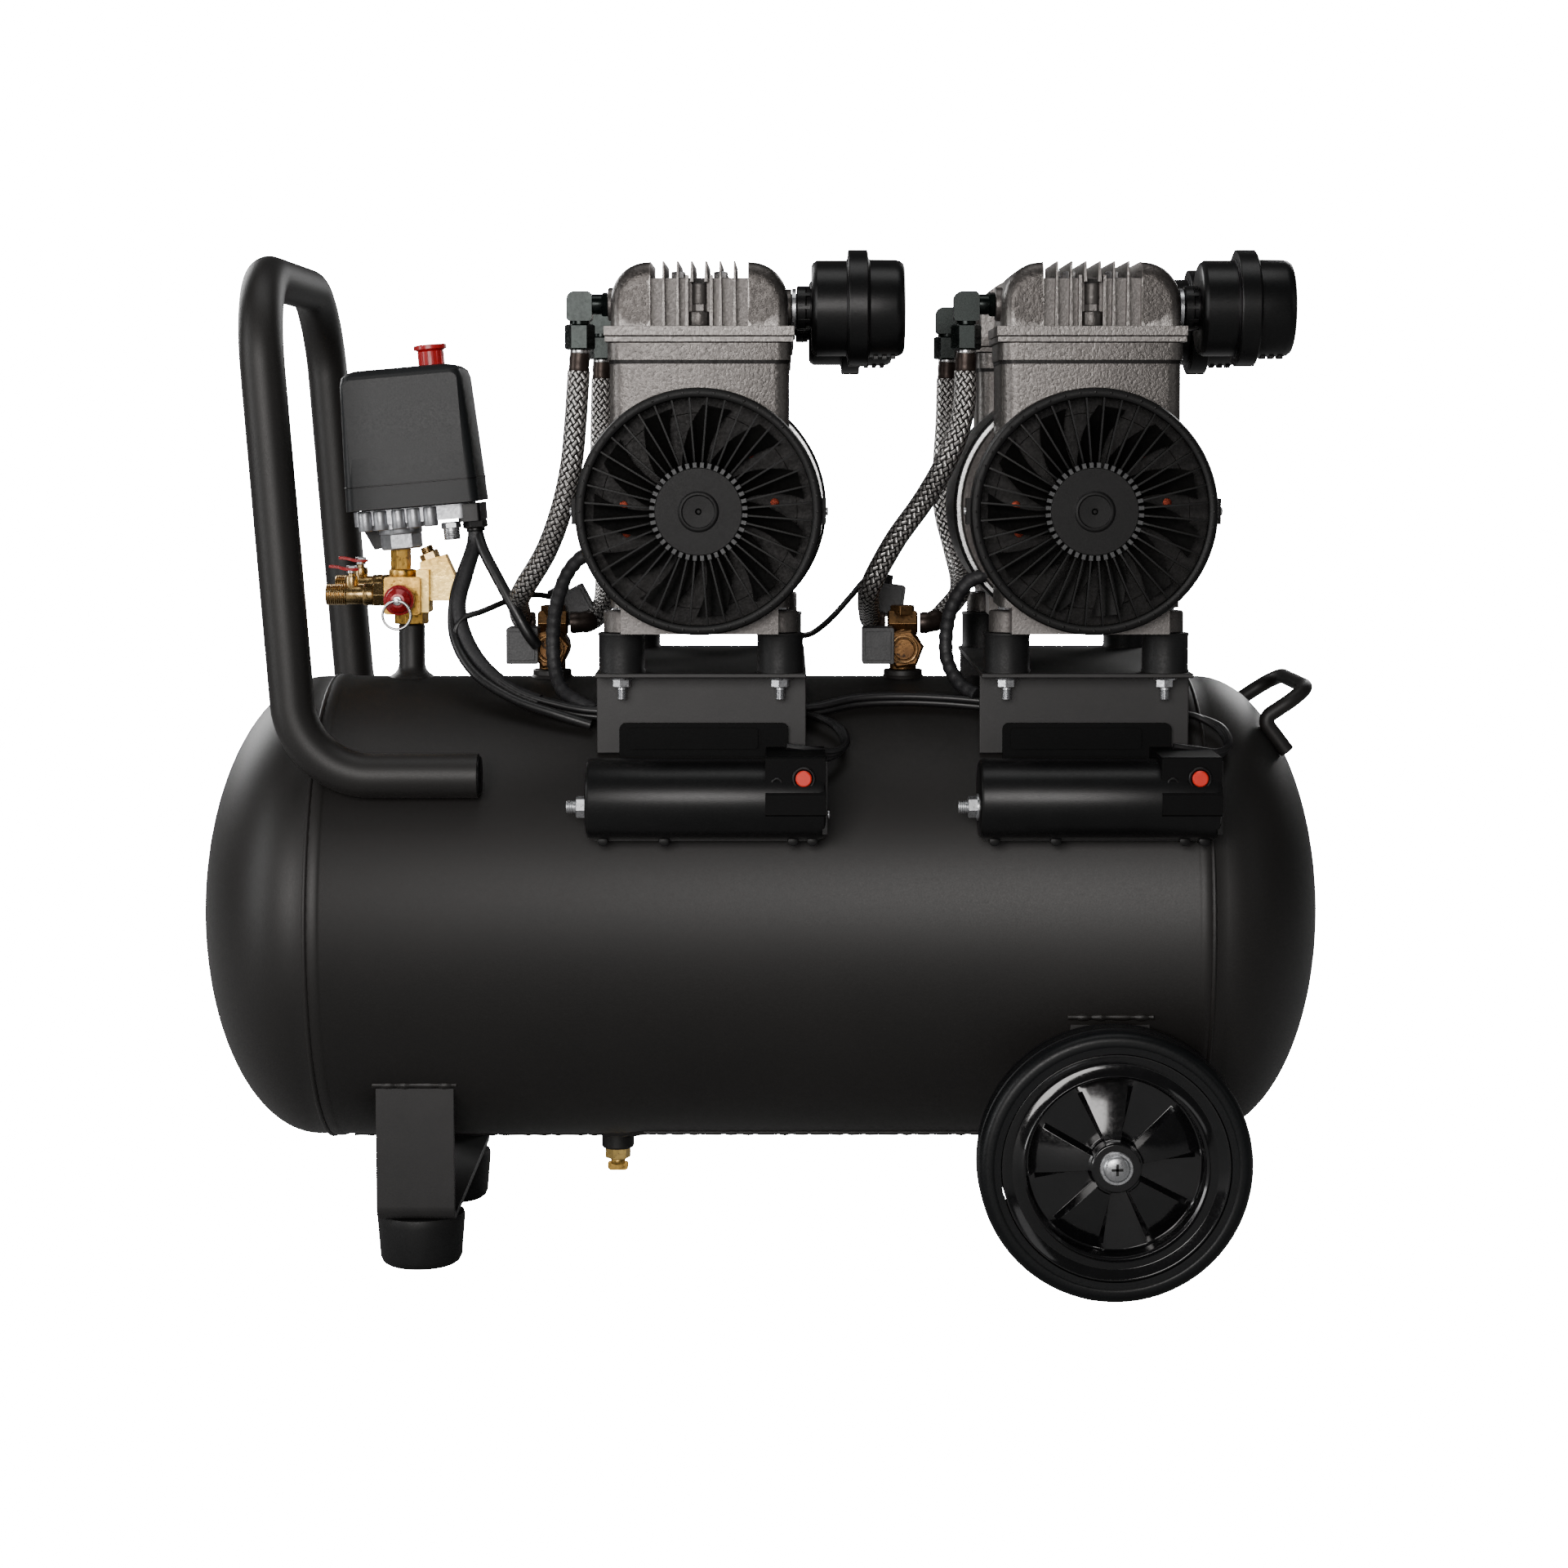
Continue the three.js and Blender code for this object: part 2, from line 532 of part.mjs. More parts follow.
function makeGuard(side) {
  const { radius, back, front, rim, hub, ribs, rib, grille, boss } = guard;
  const centre = [0, 0, shaftZ];
  const along = (a, b) => (side > 0 ? [a, b] : [-b, -a]);
  const wall = radius - 2.5;
  const section = [[wall, back], [radius, back], [radius, front], [radius - rim, front], [radius - rim, front - 3]];
  section.push([wall, front - 3], [wall, back]);
  const rimProfile = section.map(([out, y]) => [out, side * y]);
  const pieces = [
    turned(rimProfile, 'y', centre, 20),
    rod('y', hub, along(front - grille, front), centre, 12),
    rod('y', boss, along(front - 1, front + 1), centre, 8),
  ];
  for (let i = 0; i < ribs / 2; i++) {
    const bar = new THREE.BoxGeometry(2 * radius - rim, grille - 1, rib);
    bar.rotateY((i / ribs) * 2 * Math.PI);
    pieces.push(solidOf(bar.translate(0, side * (front - grille / 2), shaftZ)));
  }
  return join(pieces);
}

function makeFilter(side) {
  const { x, length, radius, clampX, clampWidth, clamp, neck, spigot } = filter;
  const z = columnTop + filter.rise;
  const end = x + length;
  const seat = cylinderHead.crown + GAP;
  const shoulder = cylinderHead.halfWidth + 1;
  const profile = [[0, seat], [spigot, seat], [spigot, shoulder], [neck, shoulder], [neck, x]];
  profile.push([radius, x + 2], [radius, clampX], [clamp, clampX], [clamp, clampX + clampWidth]);
  profile.push([radius, clampX + clampWidth], [radius, end - 4], [radius - 5, end], [0, end]);
  return turned(profile, 'x', [0, side * filter.y, z], 12);
}

// The moulded box for the run capacitor and the overload button.
function makeCapacitorBox(x) {
  const { left, right, radius, flatFrom, flatTop, plate } = capacitor;
  const barrel = rod('x', radius, [left, right], [0, boxY, boxZ], 16);
  const flat = block([flatFrom, right], [boxY - radius + 4, boxY + radius - 8], [boxZ - 8, boxZ + flatTop]);
  const apron = -saddle.apronReach - GAP;
  const back = block([-plate, plate], [apron - 4, apron], [boxZ, boxZ + 43]);
  const shelfTop = tankAxis + Math.sqrt((tank.radius + GAP) ** 2 - (saddle.apronReach + GAP) ** 2);
  const shelf = block([-plate, plate], [boxY, apron], [shelfTop - 10, shelfTop]);
  const floor = boxY - radius + 4 - reset.proud + reset.length + reset.travel + 1;
  const hole = rod('y', reset.radius + RUNNING, [boxY - radius - 1, floor], [reset.x, 0, boxZ + reset.rise], 12);
  const stud = hexagon('x', 12, [left - 8, left + 1], [0, boxY, boxZ - 5]);
  return cut(join(barrel, flat, back, shelf, stud), tankSpaceFrom(x), hole);
}

function makeResetButton() {
  const front = boxY - capacitor.radius + 4 - reset.proud;
  return rod('y', reset.radius, [front, front + reset.length], [reset.x, 0, boxZ + reset.rise], 12);
}

// ---------------------------------------------------------------- hoses, check valves and cables

// A pressure hose with the elbow that screws into the head: its places run from the elbow to the valve's tee.
function makeHose(x, valveX, side, places) {
  const headZ = columnTop + hose.rise;
  const y = side * filter.y;
  const foot = headZ + hose.stub - hose.elbowHeight - 10;
  const stub = rod('x', hose.stub, [x + hose.elbowX, x - cylinderHead.crown - GAP], [0, y, headZ], 8);
  const elbow = rod('z', hose.elbow, [foot, headZ + hose.stub], [x + hose.elbowX, y, 0], 8);
  const route = smooth([[x + hose.elbowX, y, foot + 3], ...places], 16);
  const teeSpace = rod('x', valve.teeRadius + GAP, [valveX - teeHalf - GAP, valveX + teeHalf + GAP], [0, valve.teeY, teeZ], 8);
  return cut(join(stub, elbow, swept(route, hose.radius, hose.sides)), teeSpace);
}

// The check valve on its boss: a hexagonal plug at the front and a tee on top, where both hoses arrive.
function makeCheckValve(x) {
  const foot = tankTop + valve.bossHeight + GAP;
  const centre = [x, 0, valveZ];
  return join(
    rod('z', 9, [foot, valveZ], [x, 0, 0], 8),
    rod('y', valve.barrel, [-10, 22], centre, 12),
    hexagon('y', valve.hex, [-22, -8.2], centre),
    rod('z', 7, [valveZ, teeZ], [x, valve.teeY, 0], 8),
    rod('x', valve.teeRadius, [x - teeHalf, x + teeHalf], [0, valve.teeY, teeZ], 8),
  );
}

// The solenoid that unloads the valve, on its left side.
function makeCoil(x) {
  const { width, depth, height, shift, y } = coil;
  const middle = x + shift;
  const foot = valveZ - 9;
  const body = block([middle - width / 2, middle + width / 2], [y - depth / 2, y + depth / 2], [foot, foot + height]);
  return join(body, rod('x', 4, [middle, x], [0, y + depth / 2 - 5.3, valveZ], 8));
}

// ---------------------------------------------------------------- the outlet manifold and the pressure switch

function makeManifold() {
  const { x, z, width, front, back, halfHeight } = manifold;
  const right = x + width / 2;
  const rearTapZ = z + tap.rearRise;
  const regulator = [[right - 2, z - 4], [right + 23, z - 4], [right + 23, z + 10], [right + 15, z + 27], [right - 2, z + 22]];
  return join(
    hexagon('z', 20, [riserTop + GAP, z - halfHeight + 1], [riser.x, 0, 0]),
    block([x - width / 2, right], [front, back], [z - halfHeight, z + halfHeight]),
    rod('z', 9, [z + halfHeight - 1, z + halfHeight + 5], [x - 2, 0, 0], 12),
    hexagon('z', 12, [z + halfHeight + 4, neckFoot - neckTilt], [x - 3, 0, 0]),
    prism(regulator, 'y', [-4, 12]),
    rod('y', 7, [back - 2, tap.rearY + 7], [x - 2, 0, rearTapZ], 10),
    makeTap(tap.rearY, rearTapZ, x),
  );
}

const neckFoot = manifold.z + 31;
const neckTilt = 14 * Math.sin(THREE.MathUtils.degToRad(pressureSwitch.lean)) + GAP;

const tapStemX = tap.end + tap.stemIn;

// An outlet tap along the tank, from its threaded end to the hexagon beside the block.
function makeTap(y, z, reachesTo) {
  return join(
    rod('x', tap.radius, [tap.end, reachesTo - 6], [0, y, z], 12),
    hexagon('x', 15, [reachesTo - 8, reachesTo - GAP], [0, y, z]),
    rod('z', tap.stem, [z, z + tap.stemHeight], [tapStemX, y, 0], 10),
  );
}

// A quarter-turn lever that sits on top of a tap's stem and points along the tap.
function makeLever(y, z) {
  const foot = z + tap.stemHeight + GAP;
  const outline = roundedOutline(tapStemX - tap.lever, tapStemX + 5, y - 4, y + 4, 3.5);
  const arm = prism(outline, 'z', [foot + 1.5, foot + 5], 2);
  return join(rod('z', 5, [foot, foot + 6], [tapStemX, y, 0], 10), arm);
}

function makeSafetyValve() {
  const { x, z, front } = manifold;
  const nose = safety.y - 3;
  const profile = [[0, front - GAP], [6, front - GAP], [6, -30], [safety.cap, -31], [safety.cap, safety.y]];
  profile.push([6, nose], [0, nose]);
  const body = turned(profile, 'y', [x, 0, z - safety.drop], 12);
  return cut(body, rod('y', safety.pin + RUNNING, [nose - 1, nose + 10], [x, 0, z - safety.drop], 8));
}

// The pull pin in the middle of the safety valve, with the wire ring through its end.
function makeSafetyRing() {
  const { x, z } = manifold;
  const nose = safety.y - 3;
  const pinZ = z - safety.drop;
  const ringY = nose - safety.pinLength + safety.wire;
  const pin = rod('y', safety.pin, [nose - safety.pinLength - 1, nose + 6], [x, 0, pinZ], 8);
  const section = [];
  for (let i = 0; i <= 5; i++) {
    const angle = ((i % 5) / 5) * 2 * Math.PI;
    section.push([safety.ring + safety.wire * Math.cos(angle), safety.wire * Math.sin(angle)]);
  }
  return join(pin, turned(section, 'y', [x, ringY, pinZ - safety.ring], 18));
}

// ---------------------------------------------------------------- the pressure switch, upright on its own neck

function makeSwitchBase() {
  const { neck, neckHeight, casting, coverShift, coverWidth } = pressureSwitch;
  const top = neckHeight + casting;
  const middle = coverShift;
  const half = coverWidth / 2;
  return join(
    hexagon('z', 24, [0, neckHeight + 1], [0, 0, 0]),
    prism(roundedOutline(middle - half + 4, middle + half - 6, -neck, neck - 4, 6), 'z', [neckHeight, top], 2),
    rod('z', 5.6, [neckHeight - 9, neckHeight + 1], [middle + 22, -18, 0], 10),
    hexagon('z', 15, [neckHeight - 4, neckHeight + 1], [middle + 38, -18, 0]),
  );
}

function makeSwitchCover() {
  const { neckHeight, casting, coverWidth, coverFront, coverBack, coverShift, coverHeight } = pressureSwitch;
  const foot = neckHeight + casting + GAP;
  const half = coverWidth / 2;
  const outline = roundedOutline(coverFront, coverBack, foot, foot + coverHeight, 3, 8);
  const whole = prism(outline, 'x', [coverShift - half, coverShift + half], 3);
  const wall = 3;
  const room = block(
    [coverShift - half + wall, coverShift + half - wall], [coverFront + wall, coverBack - wall],
    [foot - 1, foot + coverHeight - 8],
  );
  const slope = prism(
    [[coverShift - half - 1, foot + 12], [coverShift - half, foot + 12], [coverShift - half + 4, foot + 120],
      [coverShift - half - 1, foot + 120]], 'y', [-99, 99],
  );
  const hole = rod('z', pressureSwitch.knob - 1.5, [foot, foot + 200], [pressureSwitch.knobX, 0, 0], 12);
  return cut(whole, room, slope, hole);
}

function makeSwitchKnob() {
  const { knob, knobHeight, knobX, neckHeight, casting, coverHeight, travel } = pressureSwitch;
  const top = neckHeight + casting + GAP + coverHeight;
  const foot = top + GAP;
  const stem = knob - 1.5 - RUNNING;
  const tail = top - travel - 12;
  const profile = [[0, tail], [stem, tail], [stem, foot], [knob, foot], [knob, foot + knobHeight - 3]];
  profile.push([knob + 2.5, foot + knobHeight - 2], [knob + 2.5, foot + knobHeight], [0, foot + knobHeight]);
  return turned(profile, 'z', [knobX, 0, 0], 14);
}

// ---------------------------------------------------------------- the cable loom

// The loom leaves the switch's gland, lies along the top of the tank and runs under both saddles.
const loomRoute = [
  [-186, -20, 461], [-194, -34, 445], [-197, -43, 424], [-192, -52, 402], [-178, -62, 383], [-156, -71, 368],
  [-128, -79, 360], [-106, -84, 357], [-60, -84, 357], [0, -84, 357], [34, -80, 359], [62, -71, 364],
  [90, -68, 365], [122, -70, 364], [160, -76, 361], [190, -80, 359],
];
const coilLeadRoute = [[-188, -24, 455], [-183, -36, 444], [-174, -41, 426], [-165, -42, 410], [-158, -39, 400]];

function makeLoom() {
  return join(swept(smooth(loomRoute, 22), 5, 6), swept(smooth(coilLeadRoute, 6), 3, 6));
}

// ---------------------------------------------------------------- assembly

const compressor = new THREE.Group();
const add = (name, solid, finish, parent = compressor) => parent.add(named(name, solid, finish));

add('tank', makeTank(), 'powderCoat');
add('push_handle', makePushHandle(), 'powderCoat');
add('lift_handle', makeLiftHandle(), 'powderCoat');
add('foot_bracket', makeStrap(pad.x, footStrap.reach, pad.height + GAP), 'powderCoat');
add('axle_bracket', makeAxleStrap(), 'powderCoat');
add('drain_wing', makeDrainWing(), 'brass');
for (const [name, side] of [['near', -1], ['far', 1]]) {
  add(`foot_pad_${name}`, makePad(side * pad.y), 'rubber');
  add(`tyre_${name}`, makeTyre(side), 'rubber');
  add(`rim_${name}`, makeRim(side), 'glossPlastic');
  add(`wheel_bolt_${name}`, makeWheelBolt(side), 'steel');
}

const hoseRoutes = {
  left_front: [
    [-116, -110, 545], [-119, -105, 518], [-126, -91, 490], [-138, -70, 461], [-154, -49, 436], [-160, -28, 426],
    [-161, -9, 419], [-160, 4, 412], [-155, 7.6, 409.7], [-150.6, valve.teeY, teeZ],
  ],
  left_rear: [
    [-114, 112, 545], [-114, 106, 515], [-113, 98, 480], [-110, 84, 452], [-108, 62, 434], [-108, 38, 421],
    [-112, 20, 413], [-118, 10, 410], [-125, 8.2, 409.6], [-129.4, valve.teeY, teeZ],
  ],
  right_front: [
    [128, -110, 548], [119, -104, 521], [105, -84, 494], [87, -66, 467], [72, -48, 437], [71, -28, 426],
    [72, -9, 419], [74, 4, 412], [80, 7.6, 409.7], [84.4, valve.teeY, teeZ],
  ],
  right_rear: [
    [129, 112, 545], [127, 106, 515], [127, 98, 485], [133, 88, 458], [137, 70, 438], [135, 46, 427],
    [126, 26, 418], [117, 11, 411], [110, 8.2, 409.6], [105.6, valve.teeY, teeZ],
  ],
};

for (const [name, x] of Object.entries(motorX)) {
  const unit = new THREE.Group();
  unit.position.x = x;
  compressor.add(unit);
  add(`motor_bracket_${name}`, makeSaddle(x), 'powderCoat', unit);
  add(`stator_housing_${name}`, makeStator(), 'steel', unit);
  add(`rotor_${name}`, makeRotor(), 'steel', unit);
  add(`capacitor_box_${name}`, makeCapacitorBox(x), 'blackPlastic', unit);
  add(`reset_button_${name}`, makeResetButton(), 'red', unit);
  for (const [end, side] of [['front', -1], ['rear', 1]]) {
    add(`crankcase_${name}_${end}`, makeCrankcase(side), 'casting', unit);
    add(`piston_${name}_${end}`, makePiston(side), 'casting', unit);
    add(`cylinder_head_${name}_${end}`, makeHead(side), 'casting', unit);
    add(`fan_guard_${name}_${end}`, makeGuard(side), 'blackPlastic', unit);
    add(`air_filter_${name}_${end}`, makeFilter(side), 'blackPlastic', unit);
    add(`hose_${name}_${end}`, makeHose(x, valve[name], side, hoseRoutes[`${name}_${end}`]), 'braid');
  }
  add(`check_valve_${name}`, join(makeCheckValve(valve[name]), makeCoil(valve[name])), 'brass');
}

add('outlet_manifold', makeManifold(), 'brass');
add('tap_left', makeTap(0, manifold.z, manifold.x - manifold.width / 2), 'brass');
add('tap_left_lever', makeLever(0, manifold.z), 'red');
add('tap_rear_lever', makeLever(tap.rearY, manifold.z + tap.rearRise), 'red');
add('safety_valve', makeSafetyValve(), 'red');
add('safety_ring', makeSafetyRing(), 'steel');

const switchGroup = new THREE.Group();
switchGroup.position.set(pressureSwitch.x, 0, neckFoot);
switchGroup.rotation.y = THREE.MathUtils.degToRad(-pressureSwitch.lean);
compressor.add(switchGroup);
add('switch_base', makeSwitchBase(), 'zinc', switchGroup);
add('switch_cover', makeSwitchCover(), 'blackPlastic', switchGroup);
add('switch_knob', makeSwitchKnob(), 'red', switchGroup);
add('wiring_harness', makeLoom(), 'blackPlastic');

export default compressor;
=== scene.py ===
"""Looks of a twin-motor air compressor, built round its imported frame.

Shapes are made in millimetres, in the frame's own axes, and scaled to metres when a piece is made.
"""
import math
import random

import bmesh
import bpy
from mathutils import Matrix, Vector


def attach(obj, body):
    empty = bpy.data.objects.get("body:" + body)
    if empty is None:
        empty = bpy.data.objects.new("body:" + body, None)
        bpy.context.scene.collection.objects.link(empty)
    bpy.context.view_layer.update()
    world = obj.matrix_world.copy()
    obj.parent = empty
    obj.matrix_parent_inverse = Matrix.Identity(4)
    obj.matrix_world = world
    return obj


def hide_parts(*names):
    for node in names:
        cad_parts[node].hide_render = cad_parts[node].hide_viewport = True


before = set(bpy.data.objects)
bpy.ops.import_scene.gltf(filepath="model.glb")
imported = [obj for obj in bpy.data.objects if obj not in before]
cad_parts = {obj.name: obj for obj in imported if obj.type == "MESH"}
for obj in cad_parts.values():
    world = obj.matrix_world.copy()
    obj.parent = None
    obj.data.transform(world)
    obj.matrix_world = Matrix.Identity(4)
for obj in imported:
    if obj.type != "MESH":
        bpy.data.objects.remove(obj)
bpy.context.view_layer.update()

MM = 0.001
TAU = 2 * math.pi

# ---------------------------------------------------------------- sizes shared with the frame, in millimetres

TANK_R, DISH, FLANGE, AXIS_Z, TANK_TOP, SEAM_X = 153, 76.5, 13.5, 221, 374, 279
SHAFT_Z, COLUMN_TOP, CYLINDER_Y, MOUNT_X, MOUNT_Y = 488.3, 592.3, 112, 50, 116
MOTORS = {"left": -37, "right": 206}
VALVES = {"left": -140, "right": 95}
VALVE_Z, TEE_Z, TEE_Y = 393.5, 409.5, 8
BOX_Y, BOX_Z = -155.0, 310
WHEEL_X, WHEEL_Z, WHEEL_Y = 220, 85, 168
MANIFOLD_X, MANIFOLD_Z = -238, 429
HANDLE_Z, HANDLE_Y, HANDLE_RISE, HANDLE_LEAN = 322, 133.4, 262, 4.5
DRAIN_X, RISER_X, FOOT_X, TAP_X = -97, -234, -220, -274
SWITCH_X, SWITCH_FOOT, SWITCH_LEAN, KNOB_X = -240, 460, -5, 31
END = {-1: "front", 1: "rear"}

# ---------------------------------------------------------------- shapes: (points, faces, corner UVs or None)


def oriented(axis, along, u, v):
    """A point from its place along an axis and its two places across it."""
    return {"x": (along, u, v), "y": (u, along, v), "z": (u, v, along)}[axis]


def lathe(profile, axis="z", centre=(0, 0, 0), sides=48, closed=False, turn=0.0):
    """A turned solid: profile is [(radius, along)], and a radius of 0 makes a pole."""
    points, rings = [], []
    for radius, along in profile:
        if radius < 1e-6:
            rings.append([len(points)])
            points.append(oriented(axis, along, 0, 0))
            continue
        start = len(points)
        for i in range(sides):
            angle = turn + TAU * i / sides
            points.append(oriented(axis, along, radius * math.cos(angle), radius * math.sin(angle)))
        rings.append(list(range(start, start + sides)))
    faces = []
    pairs = list(zip(rings, rings[1:] + (rings[:1] if closed else [])))
    for a, b in pairs:
        for i in range(sides):
            j = (i + 1) % sides
            if len(a) == 1 and len(b) == 1:
                continue
            if len(a) == 1:
                faces.append((a[0], b[i], b[j]))
            elif len(b) == 1:
                faces.append((a[i], a[j], b[0]))
            else:
                faces.append((a[i], a[j], b[j], b[i]))
    cx, cy, cz = centre
    return [(x + cx, y + cy, z + cz) for x, y, z in points], faces, None


def rod(axis, radius, span, centre=(0, 0, 0), sides=32, edge=0.0, turn=0.0):
    """A round bar, with its end edges rounded off by edge."""
    a, b = span
    if edge:
        e = edge * 0.3
        profile = [(0, a), (radius - edge, a), (radius - e, a + e), (radius, a + edge)]
        profile += [(radius, b - edge), (radius - e, b - e), (radius - edge, b), (0, b)]
    else:
        profile = [(0, a), (radius, a), (radius, b), (0, b)]
    return lathe(profile, axis, centre, sides, turn=turn)


def ring(axis, inner, outer, span, centre=(0, 0, 0), sides=64, edge=0.4):
    a, b = span
    profile = [(inner, a + edge), (inner + edge, a), (outer - edge, a), (outer, a + edge)]
    profile += [(outer, b - edge), (outer - edge, b), (inner + edge, b), (inner, b - edge)]
    return lathe(profile, axis, centre, sides, closed=True)


def hexagon(axis, flats, span, centre=(0, 0, 0), turn=0.0, chamfer=0.8):
    """A hexagonal bar by its size across flats, with its corners turned down at both ends."""
    corner = flats / math.sqrt(3)
    a, b = span
    profile = [(0, a), (corner - chamfer, a), (corner, a + chamfer * 0.7)]
    profile += [(corner, b - chamfer * 0.7), (corner - chamfer, b), (0, b)]
    return lathe(profile, axis, centre, 6, turn=turn)


def extrude(outline, axis, span):
    """An outline pushed along an axis: (y, z) for x, (x, z) for y and (x, y) for z."""
    n = len(outline)
    points = [oriented(axis, span[0], u, v) for u, v in outline]
    points += [oriented(axis, span[1], u, v) for u, v in outline]
    faces = [tuple(range(n)), tuple(range(2 * n - 1, n - 1, -1))]
    faces += [(i, (i + 1) % n, n + (i + 1) % n, n + i) for i in range(n)]
    return points, faces, None


def box(x, y, z):
    return extrude([(x[0], y[0]), (x[1], y[0]), (x[1], y[1]), (x[0], y[1])], "z", z)


def rounded(u0, u1, v0, v1, radii, steps=6):
    """A rectangle's outline with its corners rounded: bottom left, bottom right, top right, top left."""
    if not isinstance(radii, (tuple, list)):
        radii = (radii,) * 4
    corners = [(u0, v0, 1, 1), (u1, v0, -1, 1), (u1, v1, -1, -1), (u0, v1, 1, -1)]
    outline = []
    for k, ((u, v, su, sv), r) in enumerate(zip(corners, radii)):
        if r <= 0:
            outline.append((u, v))
            continue
        for i in range(steps + 1):
            angle = math.pi + k * math.pi / 2 + i / steps * math.pi / 2
            outline.append((u + su * r + r * math.cos(angle), v + sv * r + r * math.sin(angle)))
    return outline


def moved(shape, matrix):
    points, faces, uvs = shape
    return [tuple(matrix @ Vector(p)) for p in points], faces, uvs


def shifted(shape, offset):
    return moved(shape, Matrix.Translation(offset))


def mirrored(shape):
    """The same shape on the other side of the machine's middle plane."""
    points, faces, uvs = shape
    return [(x, -y, z) for x, y, z in points], [tuple(reversed(f)) for f in faces], uvs


def on_side(groups, side):
    """Groups of shapes as they are for the front (-1), and mirrored for the rear (1)."""
    return groups if side < 0 else [(f, *[mirrored(s) for s in shapes]) for f, *shapes in groups]


def placed(at, degrees, axis="Y"):
    """A turn about an axis through a place."""
    return Matrix.Translation(at) @ Matrix.Rotation(math.radians(degrees), 4, axis)


def tube(route, radius, sides=24, caps=True):
    """A round tube along a route of points, with u once round it and v its length in millimetres."""
    route = [Vector(p) for p in route]
    count = len(route)
    tangents = []
    for i in range(count):
        before, after = route[max(i - 1, 0)], route[min(i + 1, count - 1)]
        tangents.append((after - before).normalized())
    side = tangents[0].orthogonal().normalized()
    points, lengths, length = [], [], 0.0
    for i, (place, tangent) in enumerate(zip(route, tangents)):
        if i:
            length += (place - route[i - 1]).length
            side = (side - tangent * side.dot(tangent)).normalized()
        lengths.append(length)
        other = tangent.cross(side)
        r = radius(length) if callable(radius) else radius
        for k in range(sides):
            angle = TAU * k / sides
            points.append(tuple(place + side * (r * math.cos(angle)) + other * (r * math.sin(angle))))
    faces, uvs = [], []
    for i in range(count - 1):
        for k in range(sides):
            j = (k + 1) % sides
            faces.append((i * sides + k, i * sides + j, (i + 1) * sides + j, (i + 1) * sides + k))
            u0, u1 = k / sides, (k + 1) / sides
            uvs.append(((u0, lengths[i]), (u1, lengths[i]), (u1, lengths[i + 1]), (u0, lengths[i + 1])))
    if caps:
        for start in (0, (count - 1) * sides):
            face = tuple(range(start, start + sides))
            faces.append(tuple(reversed(face)) if start == 0 else face)
            uvs.append(((0.0, 0.0),) * sides)
    return points, faces, uvs


def bent(corners, radii, steps=10):
    """Straight runs between corners, with each corner rounded to its radius."""
    corners = [Vector(c) for c in corners]
    route = [corners[0]]
    for i, radius in enumerate(radii):
        before, corner, after = corners[i : i + 3]
        back, on = (before - corner).normalized(), (after - corner).normalized()
        half = back.angle(on) / 2
        centre = corner + (back + on).normalized() * (radius / math.sin(half))
        start = corner + back * (radius / math.tan(half)) - centre
        end = corner + on * (radius / math.tan(half)) - centre
        sweep = start.angle(end)
        for k in range(steps + 1):
            t = k / steps
            arc = (start * math.sin((1 - t) * sweep) + end * math.sin(t * sweep)) / math.sin(sweep)
            route.append(centre + arc)
    route.append(corners[-1])
    return route


def smooth(places, count):
    """A smooth curve through given points, as evenly spaced points."""
    p = [Vector(q) for q in places]
    p = [2 * p[0] - p[1], *p, 2 * p[-1] - p[-2]]
    fine = []
    for i in range(1, len(p) - 2):
        t = [0.0]
        for a, b in zip(p[i - 1 : i + 2], p[i : i + 3]):
            t.append(t[-1] + max((b - a).length, 1e-6) ** 0.5)
        for k in range(24):
            s = t[1] + (t[2] - t[1]) * k / 24
            a1 = p[i - 1].lerp(p[i], (s - t[0]) / (t[1] - t[0]))
            a2 = p[i].lerp(p[i + 1], (s - t[1]) / (t[2] - t[1]))
            a3 = p[i + 1].lerp(p[i + 2], (s - t[2]) / (t[3] - t[2]))
            b1 = a1.lerp(a2, (s - t[0]) / (t[2] - t[0]))
            b2 = a2.lerp(a3, (s - t[1]) / (t[3] - t[1]))
            fine.append(b1.lerp(b2, (s - t[1]) / (t[2] - t[1])))
    fine.append(p[-2])
    lengths = [0.0]
    for a, b in zip(fine, fine[1:]):
        lengths.append(lengths[-1] + (b - a).length)
    route, j = [], 0
    for k in range(count + 1):
        target = lengths[-1] * k / count
        while j < len(fine) - 2 and lengths[j + 1] < target:
            j += 1
        share = (target - lengths[j]) / max(lengths[j + 1] - lengths[j], 1e-9)
        route.append(fine[j].lerp(fine[j + 1], min(max(share, 0), 1)))
    return route


def thread(axis, radius, span, centre, pitch=1.3, depth=0.55, sides=28):
    """A threaded stretch, as close rings."""
    a, b = span
    profile = [(0, a)]
    place = a
    while place + pitch <= b + 1e-6:
        profile += [(radius - depth, place), (radius, place + pitch * 0.4), (radius, place + pitch * 0.6)]
        place += pitch
    profile += [(radius - depth, b), (0, b)]
    return lathe(profile, axis, centre, sides)


# ---------------------------------------------------------------- finishes


